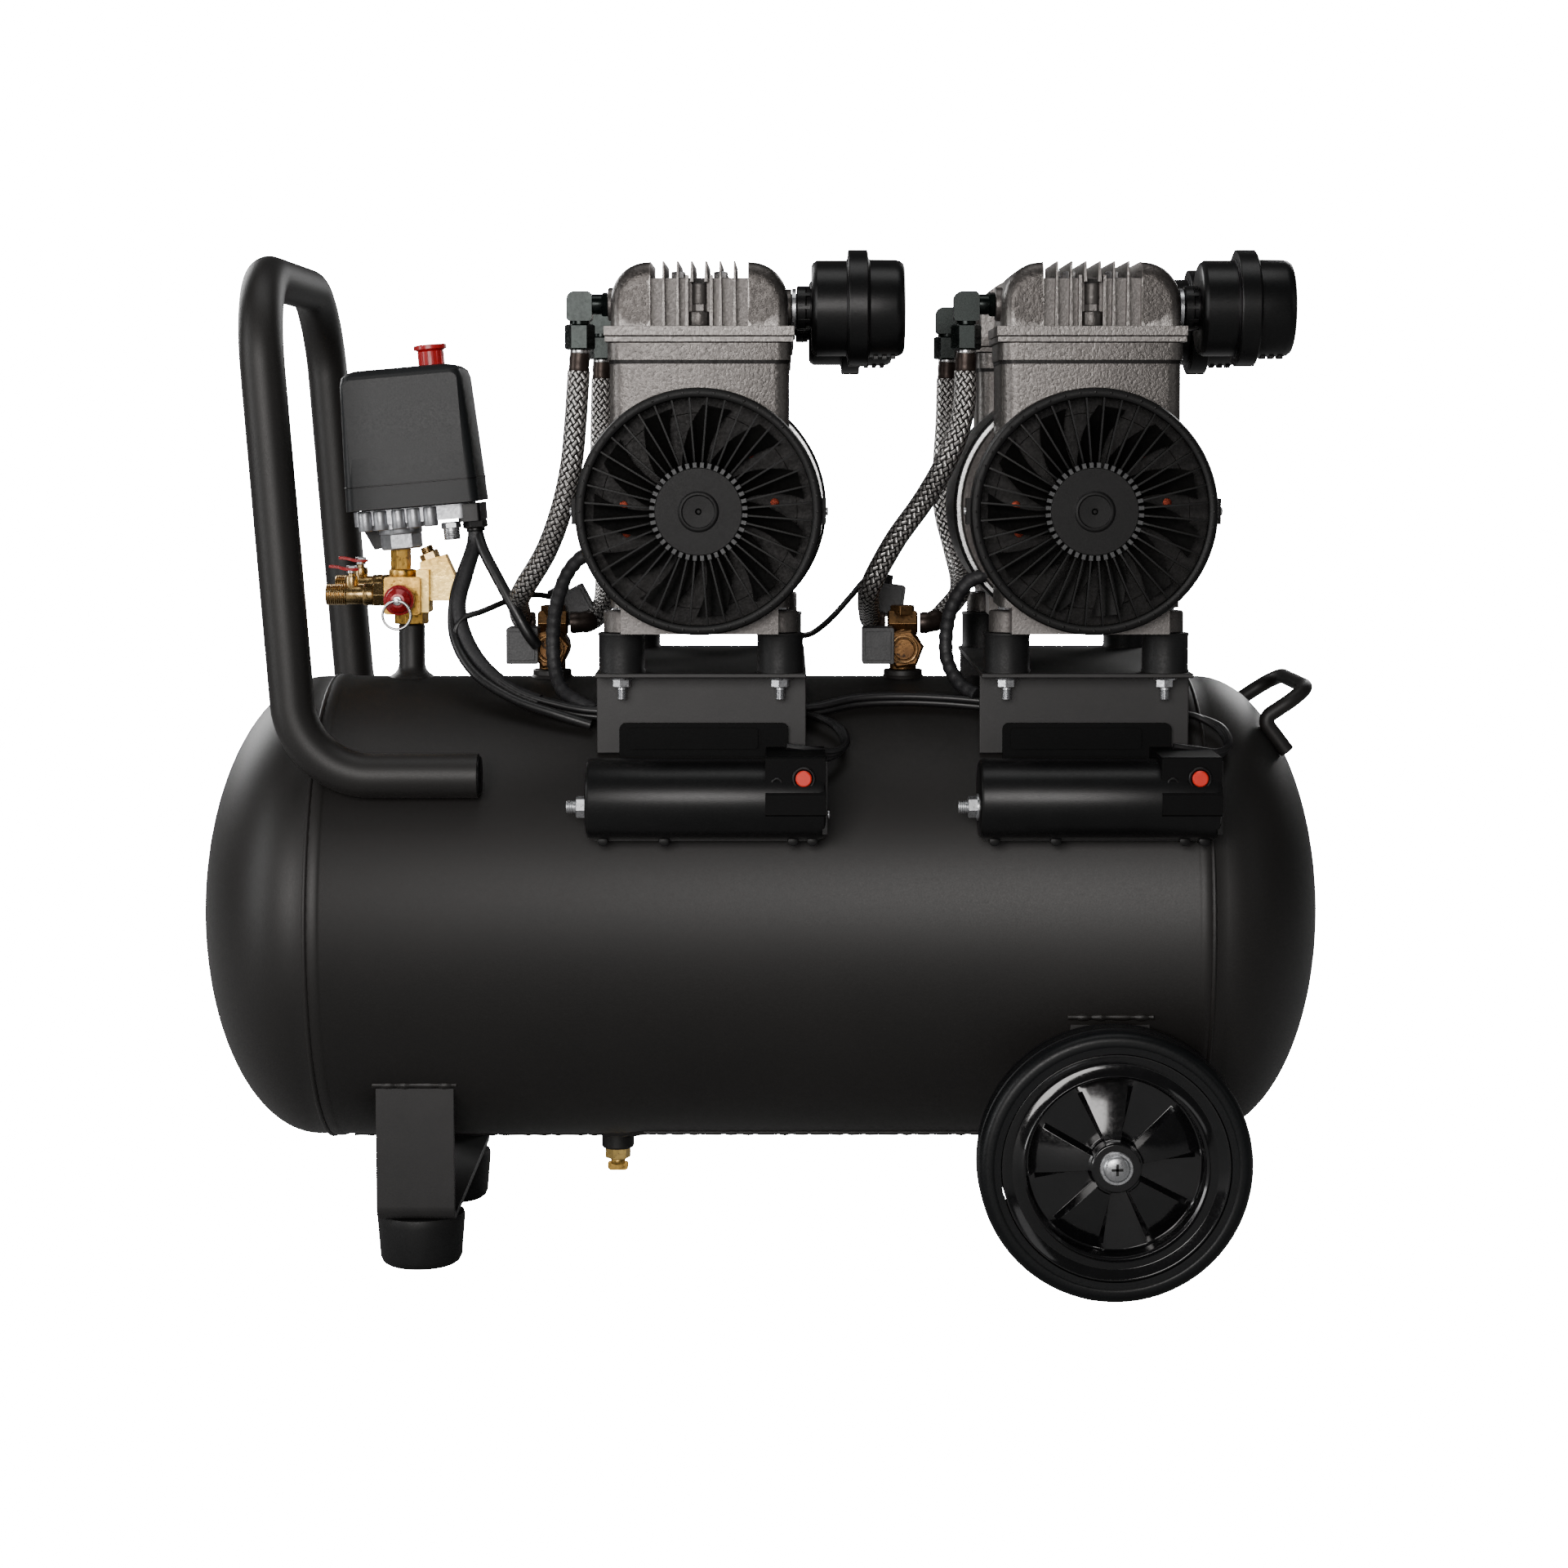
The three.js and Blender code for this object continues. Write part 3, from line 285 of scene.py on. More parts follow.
class Nodes:
    """A short way to add and join shader nodes."""

    def __init__(self, material):
        material.use_nodes = True
        self.tree = material.node_tree
        self.tree.nodes.clear()
        self.out = self.add("ShaderNodeOutputMaterial")
        self.shader = self.add("ShaderNodeBsdfPrincipled")
        self.join(self.shader, "BSDF", self.out, "Surface")
        self.places = self.add("ShaderNodeTexCoord")

    def add(self, kind, **values):
        node = self.tree.nodes.new(kind)
        for key, value in values.items():
            setattr(node, key, value)
        return node

    def join(self, a, out, b, into):
        self.tree.links.new(a.outputs[out], b.inputs[into])

    def noise(self, scale, detail=3.0, rough=0.55, distortion=0.0):
        node = self.add("ShaderNodeTexNoise")
        self.join(self.places, "Object", node, "Vector")
        for key, value in (("Scale", scale), ("Detail", detail), ("Roughness", rough), ("Distortion", distortion)):
            node.inputs[key].default_value = value
        return node

    def ranged(self, source, out, low, high, start=0.3, end=0.7):
        node = self.add("ShaderNodeMapRange")
        self.join(source, out, node, "Value")
        for key, value in (("From Min", start), ("From Max", end), ("To Min", low), ("To Max", high)):
            node.inputs[key].default_value = value
        return node

    def blend(self, source, out, low, high, start=0.3, end=0.7):
        """A colour that goes from low to high as a value goes from start to end."""
        node = self.add("ShaderNodeValToRGB")
        self.join(source, out, node, "Fac")
        for element, place, colour in zip(node.color_ramp.elements, (start, end), (low, high)):
            element.position = place
            element.color = (*colour, 1)
        return node

    def mix(self, factor, factor_out, a, a_out, b, b_out="Color"):
        node = self.add("ShaderNodeMix", data_type="RGBA")
        self.join(factor, factor_out, node, "Factor")
        self.tree.links.new(a.outputs[a_out], node.inputs[6])
        if isinstance(b, tuple):
            node.inputs[7].default_value = (*b, 1)
        else:
            self.tree.links.new(b.outputs[b_out], node.inputs[7])
        return node

    def math(self, operation, a, b=None, a_out=0, b_out=0):
        node = self.add("ShaderNodeMath", operation=operation)
        for index, value, out in ((0, a, a_out), (1, b, b_out)):
            if value is None:
                continue
            if isinstance(value, (int, float)):
                node.inputs[index].default_value = value
            else:
                self.tree.links.new(value.outputs[out], node.inputs[index])
        return node


def linear(thousandths):
    return tuple(c / 1000 for c in thousandths)


def finish(name, colour, rough, metallic, tint, patch, grain, depth, bump, spread, specular=0.5, coat=0.0,
           worn=None, wear=(0.52, 0.6), speck=None):
    """A finish: colour wanders to tint in patches, a grain moves roughness and height, and edges wear to worn.

    Colours are linear, in thousandths; patch and grain are noise scales, and depth is in millimetres.
    """
    material = bpy.data.materials.new(name)
    n = Nodes(material)
    coarse = n.noise(patch, 4, 0.6, 0.4)
    last, last_out = n.blend(coarse, "Fac", linear(colour), linear(tint)), "Color"
    if speck:
        fleck = n.noise(grain * 0.6, 2, 0.5)
        mask = n.ranged(fleck, "Fac", 0, 1, 0.58, 0.66)
        last, last_out = n.mix(mask, "Result", last, last_out, linear(speck)), 2
    if worn:
        edges = n.add("ShaderNodeNewGeometry")
        mask = n.ranged(edges, "Pointiness", 0, 1, *wear)
        last, last_out = n.mix(mask, "Result", last, last_out, linear(worn)), 2
    n.tree.links.new(last.outputs[last_out], n.shader.inputs["Base Color"])
    fine = n.noise(grain, 3, 0.6)
    rougher = n.ranged(fine, "Fac", max(rough - spread, 0.02), min(rough + spread, 1))
    n.join(rougher, "Result", n.shader, "Roughness")
    height = n.add("ShaderNodeBump")
    height.inputs["Strength"].default_value = bump
    height.inputs["Distance"].default_value = depth * MM
    n.join(fine, "Fac", height, "Height")
    n.join(height, "Normal", n.shader, "Normal")
    n.shader.inputs["Metallic"].default_value = metallic
    n.shader.inputs["Specular IOR Level"].default_value = specular
    n.shader.inputs["Coat Weight"].default_value = coat
    n.shader.inputs["Coat Roughness"].default_value = 0.08
    return material


def braid_finish():
    """Plaited steel wire: two families of strands that pass over and under each other."""
    material = bpy.data.materials.new("braided steel")
    n = Nodes(material)
    uv = n.add("ShaderNodeSeparateXYZ")
    n.join(n.places, "UV", uv, "Vector")
    turns = n.math("MULTIPLY", uv, 10.0, "X")
    run = n.math("MULTIPLY", uv, 1 / 5.6, "Y")
    a, b = n.math("ADD", turns, run), n.math("SUBTRACT", turns, run)
    cells = n.math("ADD", n.math("FLOOR", a), n.math("FLOOR", b))
    over = n.math("GREATER_THAN", n.math("FRACT", n.math("MULTIPLY", cells, 0.5)), 0.25)
    strand_a = n.math("SINE", n.math("MULTIPLY", n.math("FRACT", a), math.pi))
    strand_b = n.math("SINE", n.math("MULTIPLY", n.math("FRACT", b), math.pi))
    under = n.math("SUBTRACT", 1.0, over)
    height = n.math("ADD", n.math("MULTIPLY", strand_a, over), n.math("MULTIPLY", strand_b, under))
    across = n.math("ADD", n.math("MULTIPLY", b, over), n.math("MULTIPLY", a, under))
    wires = n.math("SINE", n.math("MULTIPLY", across, 5 * TAU))
    relief = n.math("ADD", height, n.math("MULTIPLY", wires, 0.12))
    tone = n.blend(height, 0, (0.004, 0.0035, 0.003), (0.95, 0.92, 0.89), 0.45, 0.98)
    dirt = n.noise(120, 3)
    mask = n.ranged(dirt, "Fac", 0, 0.35, 0.45, 0.75)
    mixed = n.mix(mask, "Result", tone, "Color", (0.16, 0.14, 0.13))
    n.tree.links.new(mixed.outputs[2], n.shader.inputs["Base Color"])
    bump = n.add("ShaderNodeBump")
    bump.inputs["Strength"].default_value = 0.9
    bump.inputs["Distance"].default_value = 0.7 * MM
    n.tree.links.new(relief.outputs[0], bump.inputs["Height"])
    n.join(bump, "Normal", n.shader, "Normal")
    n.shader.inputs["Metallic"].default_value = 0.85
    n.tree.links.new(n.ranged(height, 0, 0.5, 0.22, 0.2, 0.9).outputs[0], n.shader.inputs["Roughness"])
    return material


COAT = finish("powder coat", (7.8, 7, 6.5), 0.5, 0, (10.6, 9.4, 8.7), 9, 1400, 0.05, 0.5, 0.05, 0.45)
PLATE = finish("bracket coat", (17, 16.5, 16.5), 0.5, 0.1, (23, 22, 22), 25, 1200, 0.05, 0.5, 0.06, 0.45)
RUBBER = finish("moulded rubber", (4.5, 4.5, 4.8), 0.55, 0, (8, 8, 8.4), 60, 700, 0.06, 0.5, 0.08, 0.35)
TYRE = finish("tyre rubber", (1.8, 2.2, 2.7), 0.4, 0, (3, 3.6, 4.3), 50, 800, 0.04, 0.4, 0.07, 0.3)
GLOSS = finish("glossy rim plastic", (2.2, 2.2, 2.5), 0.14, 0, (4, 4, 4.5), 70, 500, 0.02, 0.25, 0.05, 0.6, 0.3)
PLASTIC = finish("satin black plastic", (2.2, 2.2, 2.4), 0.34, 0, (3.8, 3.8, 4), 60, 1500, 0.05, 0.5, 0.06, 0.3)
MATTE = finish("matte black plastic", (1.4, 1.4, 1.5), 0.6, 0, (2.2, 2.2, 2.3), 70, 1500, 0.05, 0.5, 0.06, 0.1)
GUARD = finish("guard plastic", (2.2, 2.2, 2.3), 0.48, 0, (3.6, 3.6, 3.7), 80, 1700, 0.06, 0.6, 0.07, 0.22)
SLATE = finish("switch cover plastic", (6.2, 7.3, 8.3), 0.46, 0, (9.8, 11.2, 12.3), 22, 1300, 0.04, 0.5, 0.06, 0.36)
SHEATH = finish("cable sheath", (5, 5, 5.5), 0.38, 0, (9, 9, 9.5), 90, 900, 0.03, 0.4, 0.08, 0.5)
SLEEVE = finish("loose sleeve", (8, 8, 9), 0.55, 0, (18, 18, 20), 70, 420, 0.4, 0.8, 0.1, 0.5)
CAST = finish("textured casting", (62, 57, 53.5), 0.38, 0.8, (93, 85, 80), 45, 480, 0.45, 1.0, 0.12, 0.5, 0,
              (340, 320, 305), (0.53, 0.62))
# The textured casting again, a touch darker and less metallic and with dimmer edges, as painted shade for the
# crankcase base, lugs and bell, the block between a head's fins and its middle bolt; it is also rougher.
CAST_SHADED = finish("rough casting in painted shade", (60, 55, 52), 0.5, 0.75, (90, 83, 79), 45, 560, 0.3, 0.9, 0.1, 0.5, 0,
                  (250, 235, 225), (0.53, 0.62))
# Near-black casting, painted shade: the band under each collar, the shroud and a disc behind each fan, and a plate
# in the recess behind each head's bolt.
CAST_DARK = finish("casting in shadow", (5, 4.5, 4.3), 0.5, 0.4, (11, 10, 9.5), 45, 620, 0.15, 0.7, 0.1, 0.3)
STATOR = finish("stator casing coat", (6, 6, 6), 0.35, 0, (10, 10, 10), 50, 900, 0.04, 0.4, 0.06)
STEEL = finish("bright steel", (560, 560, 560), 0.26, 1.0, (660, 660, 660), 60, 500, 0.03, 0.3, 0.08, 0.5, 0,
               (800, 800, 800))
ZINC = finish("zinc plated steel", (420, 430, 440), 0.32, 0.95, (550, 560, 580), 90, 600, 0.05, 0.4, 0.1, 0.5, 0,
              (750, 760, 780))
DIECAST = finish("zinc die casting", (300, 310, 330), 0.4, 0.85, (420, 430, 450), 70, 450, 0.2, 0.7, 0.12, 0.5, 0,
                 (600, 610, 630))
GREEN = finish("green zinc fitting", (2.5, 5.5, 4.5), 0.24, 0.6, (5, 9.5, 8), 60, 400, 0.03, 0.3, 0.06)
FERRULE = finish("browned ferrule", (28, 19, 16), 0.38, 0.7, (50, 36, 30), 120, 700, 0.05, 0.4, 0.08)
BRASS = finish("cast brass", (500, 270, 45), 0.38, 0.95, (620, 360, 75), 80, 420, 0.22, 0.8, 0.12, 0.5, 0,
               (850, 600, 200), (0.53, 0.6), (220, 110, 20))
TURNED = finish("machined brass", (420, 250, 85), 0.25, 1.0, (550, 350, 130), 100, 900, 0.04, 0.3, 0.08, 0.5, 0,
                (800, 600, 300))
BRONZE = finish("stained bronze", (85, 42, 18), 0.36, 0.9, (180, 92, 34), 110, 500, 0.14, 0.7, 0.12, 0.5, 0,
                (420, 240, 100), (0.53, 0.6), (30, 19, 13))
COIL = finish("coil moulding", (34, 35, 36), 0.5, 0.1, (48, 49, 51), 60, 900, 0.18, 0.8, 0.1)
RED = finish("red plastic", (420, 8, 12), 0.32, 0, (520, 14, 18), 90, 700, 0.03, 0.4, 0.08, 0.5, 0.15)
RED_CAP = finish("red lacquered cap", (260, 6, 10), 0.3, 0.2, (360, 10, 14), 130, 600, 0.06, 0.5, 0.1, 0.5, 0.2)
ORANGE = finish("red button", (720, 20, 8), 0.35, 0, (800, 30, 12), 90, 600, 0.03, 0.3, 0.06, 0.5, 0.1)
COPPER = finish("enamelled winding", (120, 16, 8), 0.35, 0.8, (240, 40, 18), 300, 1500, 0.3, 0.9, 0.1)
FAN = finish("fan plastic", (1.2, 1.1, 1.1), 0.4, 0, (4, 3.6, 3.3), 60, 700, 0.05, 0.5, 0.1, 0.2)
# Blackened steel for the solenoid stem; it also paints the wheel screws' cross recess as a dark cross, which is
# painted shade.
BLACKENED_AND_SHADE = finish("blackened steel and painted recess shade", (20, 20, 20), 0.4, 0.6, (35, 35, 35), 90, 700, 0.05, 0.4, 0.08)
BRAID = braid_finish()


# ---------------------------------------------------------------- pieces


def piece(name, parts, body="chassis", replaces=(), bevel=0.0, segments=2, crease=32):
    """One object from shapes, each with its finish: parts is [(finish, shape, ...)]. It rides on a body."""
    mesh = bpy.data.meshes.new(name)
    made = bmesh.new()
    layer = made.loops.layers.uv.new("UVMap")
    finishes = []
    for material, *shapes in parts:
        if material not in finishes:
            finishes.append(material)
        for points, faces, uvs in shapes:
            corners = [made.verts.new((x * MM, y * MM, z * MM)) for x, y, z in points]
            fresh = []
            for index, face in enumerate(faces):
                new = made.faces.new([corners[i] for i in face])
                new.material_index = finishes.index(material)
                new.smooth = True
                if uvs:
                    for loop, uv in zip(new.loops, uvs[index]):
                        loop[layer].uv = uv
                fresh.append(new)
            bmesh.ops.recalc_face_normals(made, faces=fresh)
    made.to_mesh(mesh)
    made.free()
    for material in finishes:
        mesh.materials.append(material)
    mesh.set_sharp_from_angle(angle=math.radians(crease))
    thing = bpy.data.objects.new(name, mesh)
    bpy.context.scene.collection.objects.link(thing)
    if bevel:
        rounding = thing.modifiers.new("rounding", "BEVEL")
        rounding.width = bevel * MM
        rounding.segments = segments
        rounding.limit_method = "ANGLE"
        rounding.angle_limit = math.radians(35)
        rounding.harden_normals = True
        rounding.use_clamp_overlap = True
    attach(thing, body)
    if replaces:
        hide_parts(*([replaces] if isinstance(replaces, str) else replaces))
    return thing


def paint(node, material):
    """Gives a node of the frame a finish, and keeps its shape."""
    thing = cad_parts[node]
    thing.data.materials.clear()
    thing.data.materials.append(material)


def tank_z(y):
    """The height of the tank's underside at a depth."""
    return AXIS_Z - math.sqrt(TANK_R**2 - y**2)


def tank_top_z(y):
    """The height of its upper side at a depth."""
    return AXIS_Z + math.sqrt(TANK_R**2 - y**2)


# ---------------------------------------------------------------- the tank and what carries it


def tank_profile():
    """The tank's outline from end to end, with a bulging seam where each dish is welded on."""
    half = []
    dish_x = SEAM_X + FLANGE
    for i in range(25):
        angle = i / 24 * math.pi / 2
        half.append((TANK_R * math.sin(angle), -dish_x - DISH * math.cos(angle)))
    for i in range(9):
        t = i / 8
        half.append((TANK_R + 1.3 * math.sin(math.pi * t) ** 0.7, -SEAM_X - 5.0 + 10.0 * t))
    return half + [(r, -a) for r, a in reversed(half)]


def weld(route, radius, wobble, seed):
    """A weld bead: an uneven tube with a ripple every couple of millimetres."""
    draw = random.Random(seed)
    phase = draw.uniform(0, TAU)

    def width(along):
        return radius * (1 + wobble * math.sin(along * 2.6 + phase) + wobble * 0.8 * math.sin(along * 0.71))

    return tube(route, width, 10)


riser_flare = [(0, TANK_TOP - 4), (15.5, TANK_TOP - 1.5), (14.4, TANK_TOP + 0.6), (11.5, TANK_TOP + 2.6),
               (9.6, TANK_TOP + 5.2)]
riser_flare += [(8.75, TANK_TOP + 8), (8.75, 408.4), (8.2, 409), (0, 409)]
tank_parts = [lathe(tank_profile(), "x", (0, 0, AXIS_Z), 160), lathe(riser_flare, "z", (RISER_X, 0, 0), 40)]
for valve_x in VALVES.values():
    boss = [(0, 370), (15, 371.5), (14.2, 373.8), (13, 375.4), (13, 378.4), (12.4, 379), (0, 379)]
    tank_parts.append(lathe(boss, "z", (valve_x, 0, 0), 40))
drain_boss = [(0, 72), (11, 72), (11, 56.2), (10.2, 55), (0, 55)]
tank_parts.append(lathe(drain_boss, "z", (DRAIN_X, 0, 0), 40))
long_weld = []
for x in range(-272, 273, 4):  # in front of the drain's right side, and under the tank on its left
    y = -52 + 32 * min(max((-76 - x) / 30, 0), 1)
    long_weld.append((x, y, tank_z(y) - 0.2))
tank_parts.append(weld(long_weld, 1.9, 0.16, 1))
for side in (-1, 1):
    turns = [TAU * i / 200 for i in range(201)]
    seam_r = TANK_R * 1.002
    seam = [(side * (SEAM_X + 4.6), seam_r * math.cos(a), AXIS_Z + seam_r * math.sin(a)) for a in turns]
    tank_parts.append(weld(seam, 1.5, 0.14, 2 + side))
drain_hex = hexagon("z", 15, (47.5, 55.4), (DRAIN_X, 0, 0), 0.2)
piece("tank_shell", [(COAT, *tank_parts), (BRASS, drain_hex, rod("z", 5.6, (46.9, 48.4), (DRAIN_X, 0, 0), 24))],
      replaces="tank")
wing = extrude(rounded(-7, 7, 38.9, 44.8, (2.6, 2.6, 1.2, 1.2)), "y", (-1.5, 1.5))
piece("drain_tap", [(BRASS, shifted(wing, (DRAIN_X, 0, 0)), rod("z", 4.9, (43.4, 47.5), (DRAIN_X, 0, 0), 24, 0.5))],
      "drain_wing", "drain_wing", 0.3)

top_z = TANK_TOP + HANDLE_RISE
lean = math.tan(math.radians(HANDLE_LEAN))
corners = [(-176, -HANDLE_Y, HANDLE_Z), (-289, -HANDLE_Y, HANDLE_Z),
           (-289 - (top_z - HANDLE_Z) * lean, -HANDLE_Y, top_z)]
corners += [(x, -y, z) for x, y, z in reversed(corners)]
push_route = bent(corners, (50, 60, 60, 50), 16)
plugs = [rod("x", 12.6, (-178, -174.6), (0, y, HANDLE_Z), 40, 1.2) for y in (-HANDLE_Y, HANDLE_Y)]
fillets = []
for y in (-1, 1):
    foot_y = y * math.sqrt((TANK_R + 1.2) ** 2 - (HANDLE_Z - 12.5 - AXIS_Z) ** 2)
    fillets.append(weld([(x, foot_y, HANDLE_Z - 12.5) for x in range(-246, -178, 3)], 2.1, 0.15, 7 + y))
piece("push_handle_tube", [(COAT, tube(push_route, 14, 40), *fillets), (PLASTIC, *plugs)], replaces="push_handle",
      bevel=0.6)


def on_dish(y, z, out):
    """A place on the tank's right-hand dish, pushed out from its surface."""
    rise = z - AXIS_Z
    along = DISH * math.sqrt(1 - (math.hypot(y, rise) / TANK_R) ** 2)
    slope_x, slope_z = along / DISH**2, rise / TANK_R**2
    slope = math.sqrt(slope_x**2 + slope_z**2 + (y / TANK_R**2) ** 2)
    push = out * slope / (slope_x**2 + slope_z**2)
    return (SEAM_X + FLANGE + along + push * slope_x, y, z + push * slope_z)


foot = [on_dish(-62, TANK_TOP - 47, 5.3), on_dish(-62, TANK_TOP - 27, 5.3), (357, -62, TANK_TOP - 3)]
foot += [(x, -y, z) for x, y, z in reversed(foot)]
lift_route = bent(foot, (6, 20, 20, 6), 10)
lift_welds = [weld([on_dish(y * 57.5, TANK_TOP - 46 + 3 * i, 1.0) for i in range(7)], 1.8, 0.2,
                   20 + y) for y in (-1, 1)]
piece("lift_handle_rod", [(COAT, tube(lift_route, 5, 24), *lift_welds)], replaces="lift_handle", bevel=0.5)


def strap_outline(reach, bottom, thickness, outer, inner):
    """The end view of a strap that runs under the tank, cut to the tank's side."""
    path = []
    for i in range(9):
        angle = math.pi / 2 * i / 8
        path.append((reach - outer + outer * math.cos(angle), bottom + outer - outer * math.sin(angle)))
    turn = [(reach, tank_z(reach) - 0.2), *path]
    turn += [(-y, z) for y, z in reversed(turn)]
    inside = reach - thickness
    back = []
    for i in range(9):
        angle = math.pi / 2 * i / 8
        back.append((inside - inner + inner * math.cos(angle),
                     bottom + thickness + inner - inner * math.sin(angle)))
    hollow = [(inside, tank_z(inside) - 0.2), *back]
    hollow += [(-y, z) for y, z in reversed(hollow)]
    return turn + hollow[::-1]


STRAPS = [("foot_strap", FOOT_X, 115, 33.3, "foot_bracket"), ("axle_strap", WHEEL_X, 143, 60, "axle_bracket")]
for name, x, reach, bottom, node in STRAPS:
    beads = []
    for y in (-1, 1):
        z = tank_z(reach + 1.6)
        beads.append(weld([(x - 27 + 3 * i, y * (reach + 1.2), z + 0.4) for i in range(19)], 2.2, 0.22, 30 + y))
    strap = extrude(strap_outline(reach, bottom, 4, 10, 6), "x", (x - 25, x + 25))
    piece(name, [(PLATE, strap), (COAT, *beads)], replaces=node, bevel=0.9)

for name, y in (("near", -84), ("far", 84)):
    profile = [(0, 0), (23, 0), (25, 1.4), (26.4, 4.5), (28.2, 27), (28.4, 30.5), (27.8, 32.6), (26.6, 33), (0, 33)]
    piece(f"rubber_foot_{name}", [(RUBBER, lathe(profile, "z", (FOOT_X, y, 0), 72))], replaces=f"foot_pad_{name}")

# ---------------------------------------------------------------- wheels


def tyre_shape():
    """The tyre seen from the front: a rounded tread with a fine rib each side of it."""
    profile = [(71.2, -17)]
    for i in range(7):
        angle = i / 6 * math.pi / 2
        profile.append((77.5 - 3.5 * math.cos(angle) * 0.6, -17.2 - 0.8 * math.sin(angle)))
    for i in range(9):
        angle = i / 8 * math.pi / 2
        profile.append((79 + 6 * math.sin(angle), -18 + 8.5 * (1 - math.cos(angle))))
    profile += [(84.2, -6.4), (84.2, -5.6), (85, -5), (85, 0)]
    profile += [(r, -y) for r, y in reversed(profile[:-1])]
    return profile


SPOKES = [math.radians(97.5 + 72 * k) for k in range(5)]
SPOKE_HALF = math.radians(16.5)


def rim_shape():
    """The plastic rim: five raised spokes with sunk pockets between them, the same on both faces."""
    angles = []
    for middle in SPOKES:
        edges = [middle - SPOKE_HALF, middle + SPOKE_HALF]
        for i in range(9):
            angles.append((edges[0] + (edges[1] - edges[0]) * i / 8, 1.0))
        gap = TAU / 5 - 2 * SPOKE_HALF
        for i in range(9):
            angles.append((edges[1] + 0.07 + (gap - 0.14) * i / 8, 0.0))
    radii = [6.45, 7.2, 14.6, 15.6, 16.2, 17.4, 22, 30, 40, 50, 53.6, 54.6, 55.6, 57.2, 60, 64, 67.5, 69.6, 70.7]

    def depth(r, spoke):
        if r <= 7.2:
            return 15.4 if r < 7 else 16
        if r <= 15.6:
            return 16 if r < 15 else 15.2
        if r <= 54.6:
            share = (r - 17) / 37
            web = 14 - 11 * max(share, 0) ** 1.5 if spoke else 1.4 + 3 * share
            if r < 17:
                return web + 1.2
            return web if r < 54 else web + 1.0
        if r <= 57.2:
            return 14.2 if r < 56 else 15.6
        lip = (r - 57.2) / 13.5
        return 15.6 - 3.4 * math.sin(math.pi * min(lip * 1.15, 1)) if r < 69 else 16

    n = len(angles)
    points, faces = [], []
    for face in (-1, 1):
        for r in radii:
            for angle, spoke in angles:
                across = depth(r, spoke)
                points.append((r * math.cos(angle), face * across, r * math.sin(angle)))
    rings = len(radii)
    for face in range(2):
        for j in range(rings - 1):
            for i in range(n):
                a = face * rings * n + j * n + i
                b = face * rings * n + j * n + (i + 1) % n
                faces.append((a, b, b + n, a + n))
    for j in (0, rings - 1):
        for i in range(n):
            a, b = j * n + i, j * n + (i + 1) % n
            faces.append((a, b, b + rings * n, a + rings * n))
    return points, faces, None


for name, side in (("near", -1), ("far", 1)):
    place = (WHEEL_X, side * WHEEL_Y, WHEEL_Z)
    flip = placed(place, 0 if side < 0 else 180, "Z")
    tyre = lathe(tyre_shape(), "y", place, 144, True)
    piece(f"wheel_tyre_{name}", [(TYRE, tyre)], f"wheel_{name}", f"tyre_{name}")
    piece(f"wheel_rim_{name}", [(GLOSS, moved(rim_shape(), flip))], f"wheel_{name}", f"rim_{name}", 0.35, 2, 28)
    face = side * (WHEEL_Y + 16.3)
    cap = [(0, face - side), (10.4, face - side), (10.4, face + side), (9.8, face + side * 1.8)]
    for i in range(6):
        angle = i / 5 * math.pi / 2
        cap.append((8.4 * math.cos(angle), face + side * (1.8 + 2.6 * math.sin(angle))))
    bolt = lathe(cap, "y", (WHEEL_X, 0, WHEEL_Z), 48)
    shank = rod("y", 6, sorted((side * 128, face)), (WHEEL_X, 0, WHEEL_Z), 32)
    nut = hexagon("y", 17, sorted((side * 129.7, side * 138.7)), (WHEEL_X, 0, WHEEL_Z))
    # The cross recess is not cut: a dark cross standing just out of the dome is painted shade.
    slots = []
    for w, h in ((0.8, 3.6), (3.6, 0.8)):
        deep = sorted((face + side * 3, face + side * 4.5))
        slots.append(box((WHEEL_X - w, WHEEL_X + w), deep, (WHEEL_Z - h, WHEEL_Z + h)))
    piece(f"wheel_screw_{name}", [(ZINC, bolt, shank, nut), (BLACKENED_AND_SHADE, *slots)], replaces=f"wheel_bolt_{name}")

# ---------------------------------------------------------------- motors


def motor_bracket(name, x):
    plate = box((x - 66.5, x + 66.5), (-130, 130), (383, 386))
    parts = [plate]
    for side in (-1, 1):
        y0, y1 = sorted((side * 104.5, side * 107.5))
        foot_z = max(tank_top_z(104.5) + 0.5, 331)
        parts.append(box((x - 66.5, x + 66.5), (y0, y1), (foot_z, 384)))
    mounts, fixings = [], []
    for across in (-MOUNT_X, MOUNT_X):
        for y in (-MOUNT_Y, MOUNT_Y):
            rubber = [(0, 386), (15, 386), (15, 387.2), (14.5, 388.2), (14.5, 408.6), (15, 409.8), (14.6, 411),
                      (0, 411)]
            mounts.append(lathe(rubber, "z", (x + across, y, 0), 48))
            centre = (x + across, y, 0)
            fixings.append(lathe([(0, 381.2), (7.2, 381.2), (7.6, 382), (7.2, 383), (0, 383)], "z", centre, 32))
            fixings.append(hexagon("z", 10, (376.2, 381.6), centre, 0.35))
            fixings.append(thread("z", 3, (368.5, 376.4), centre, 1.0, 0.35, 20))
    piece(f"bracket_{name}", [(PLATE, *parts)], replaces=f"motor_bracket_{name}", bevel=0.8)
    piece(f"mounts_{name}", [(RUBBER, *mounts)])
    piece(f"mount_nuts_{name}", [(ZINC, *fixings)])


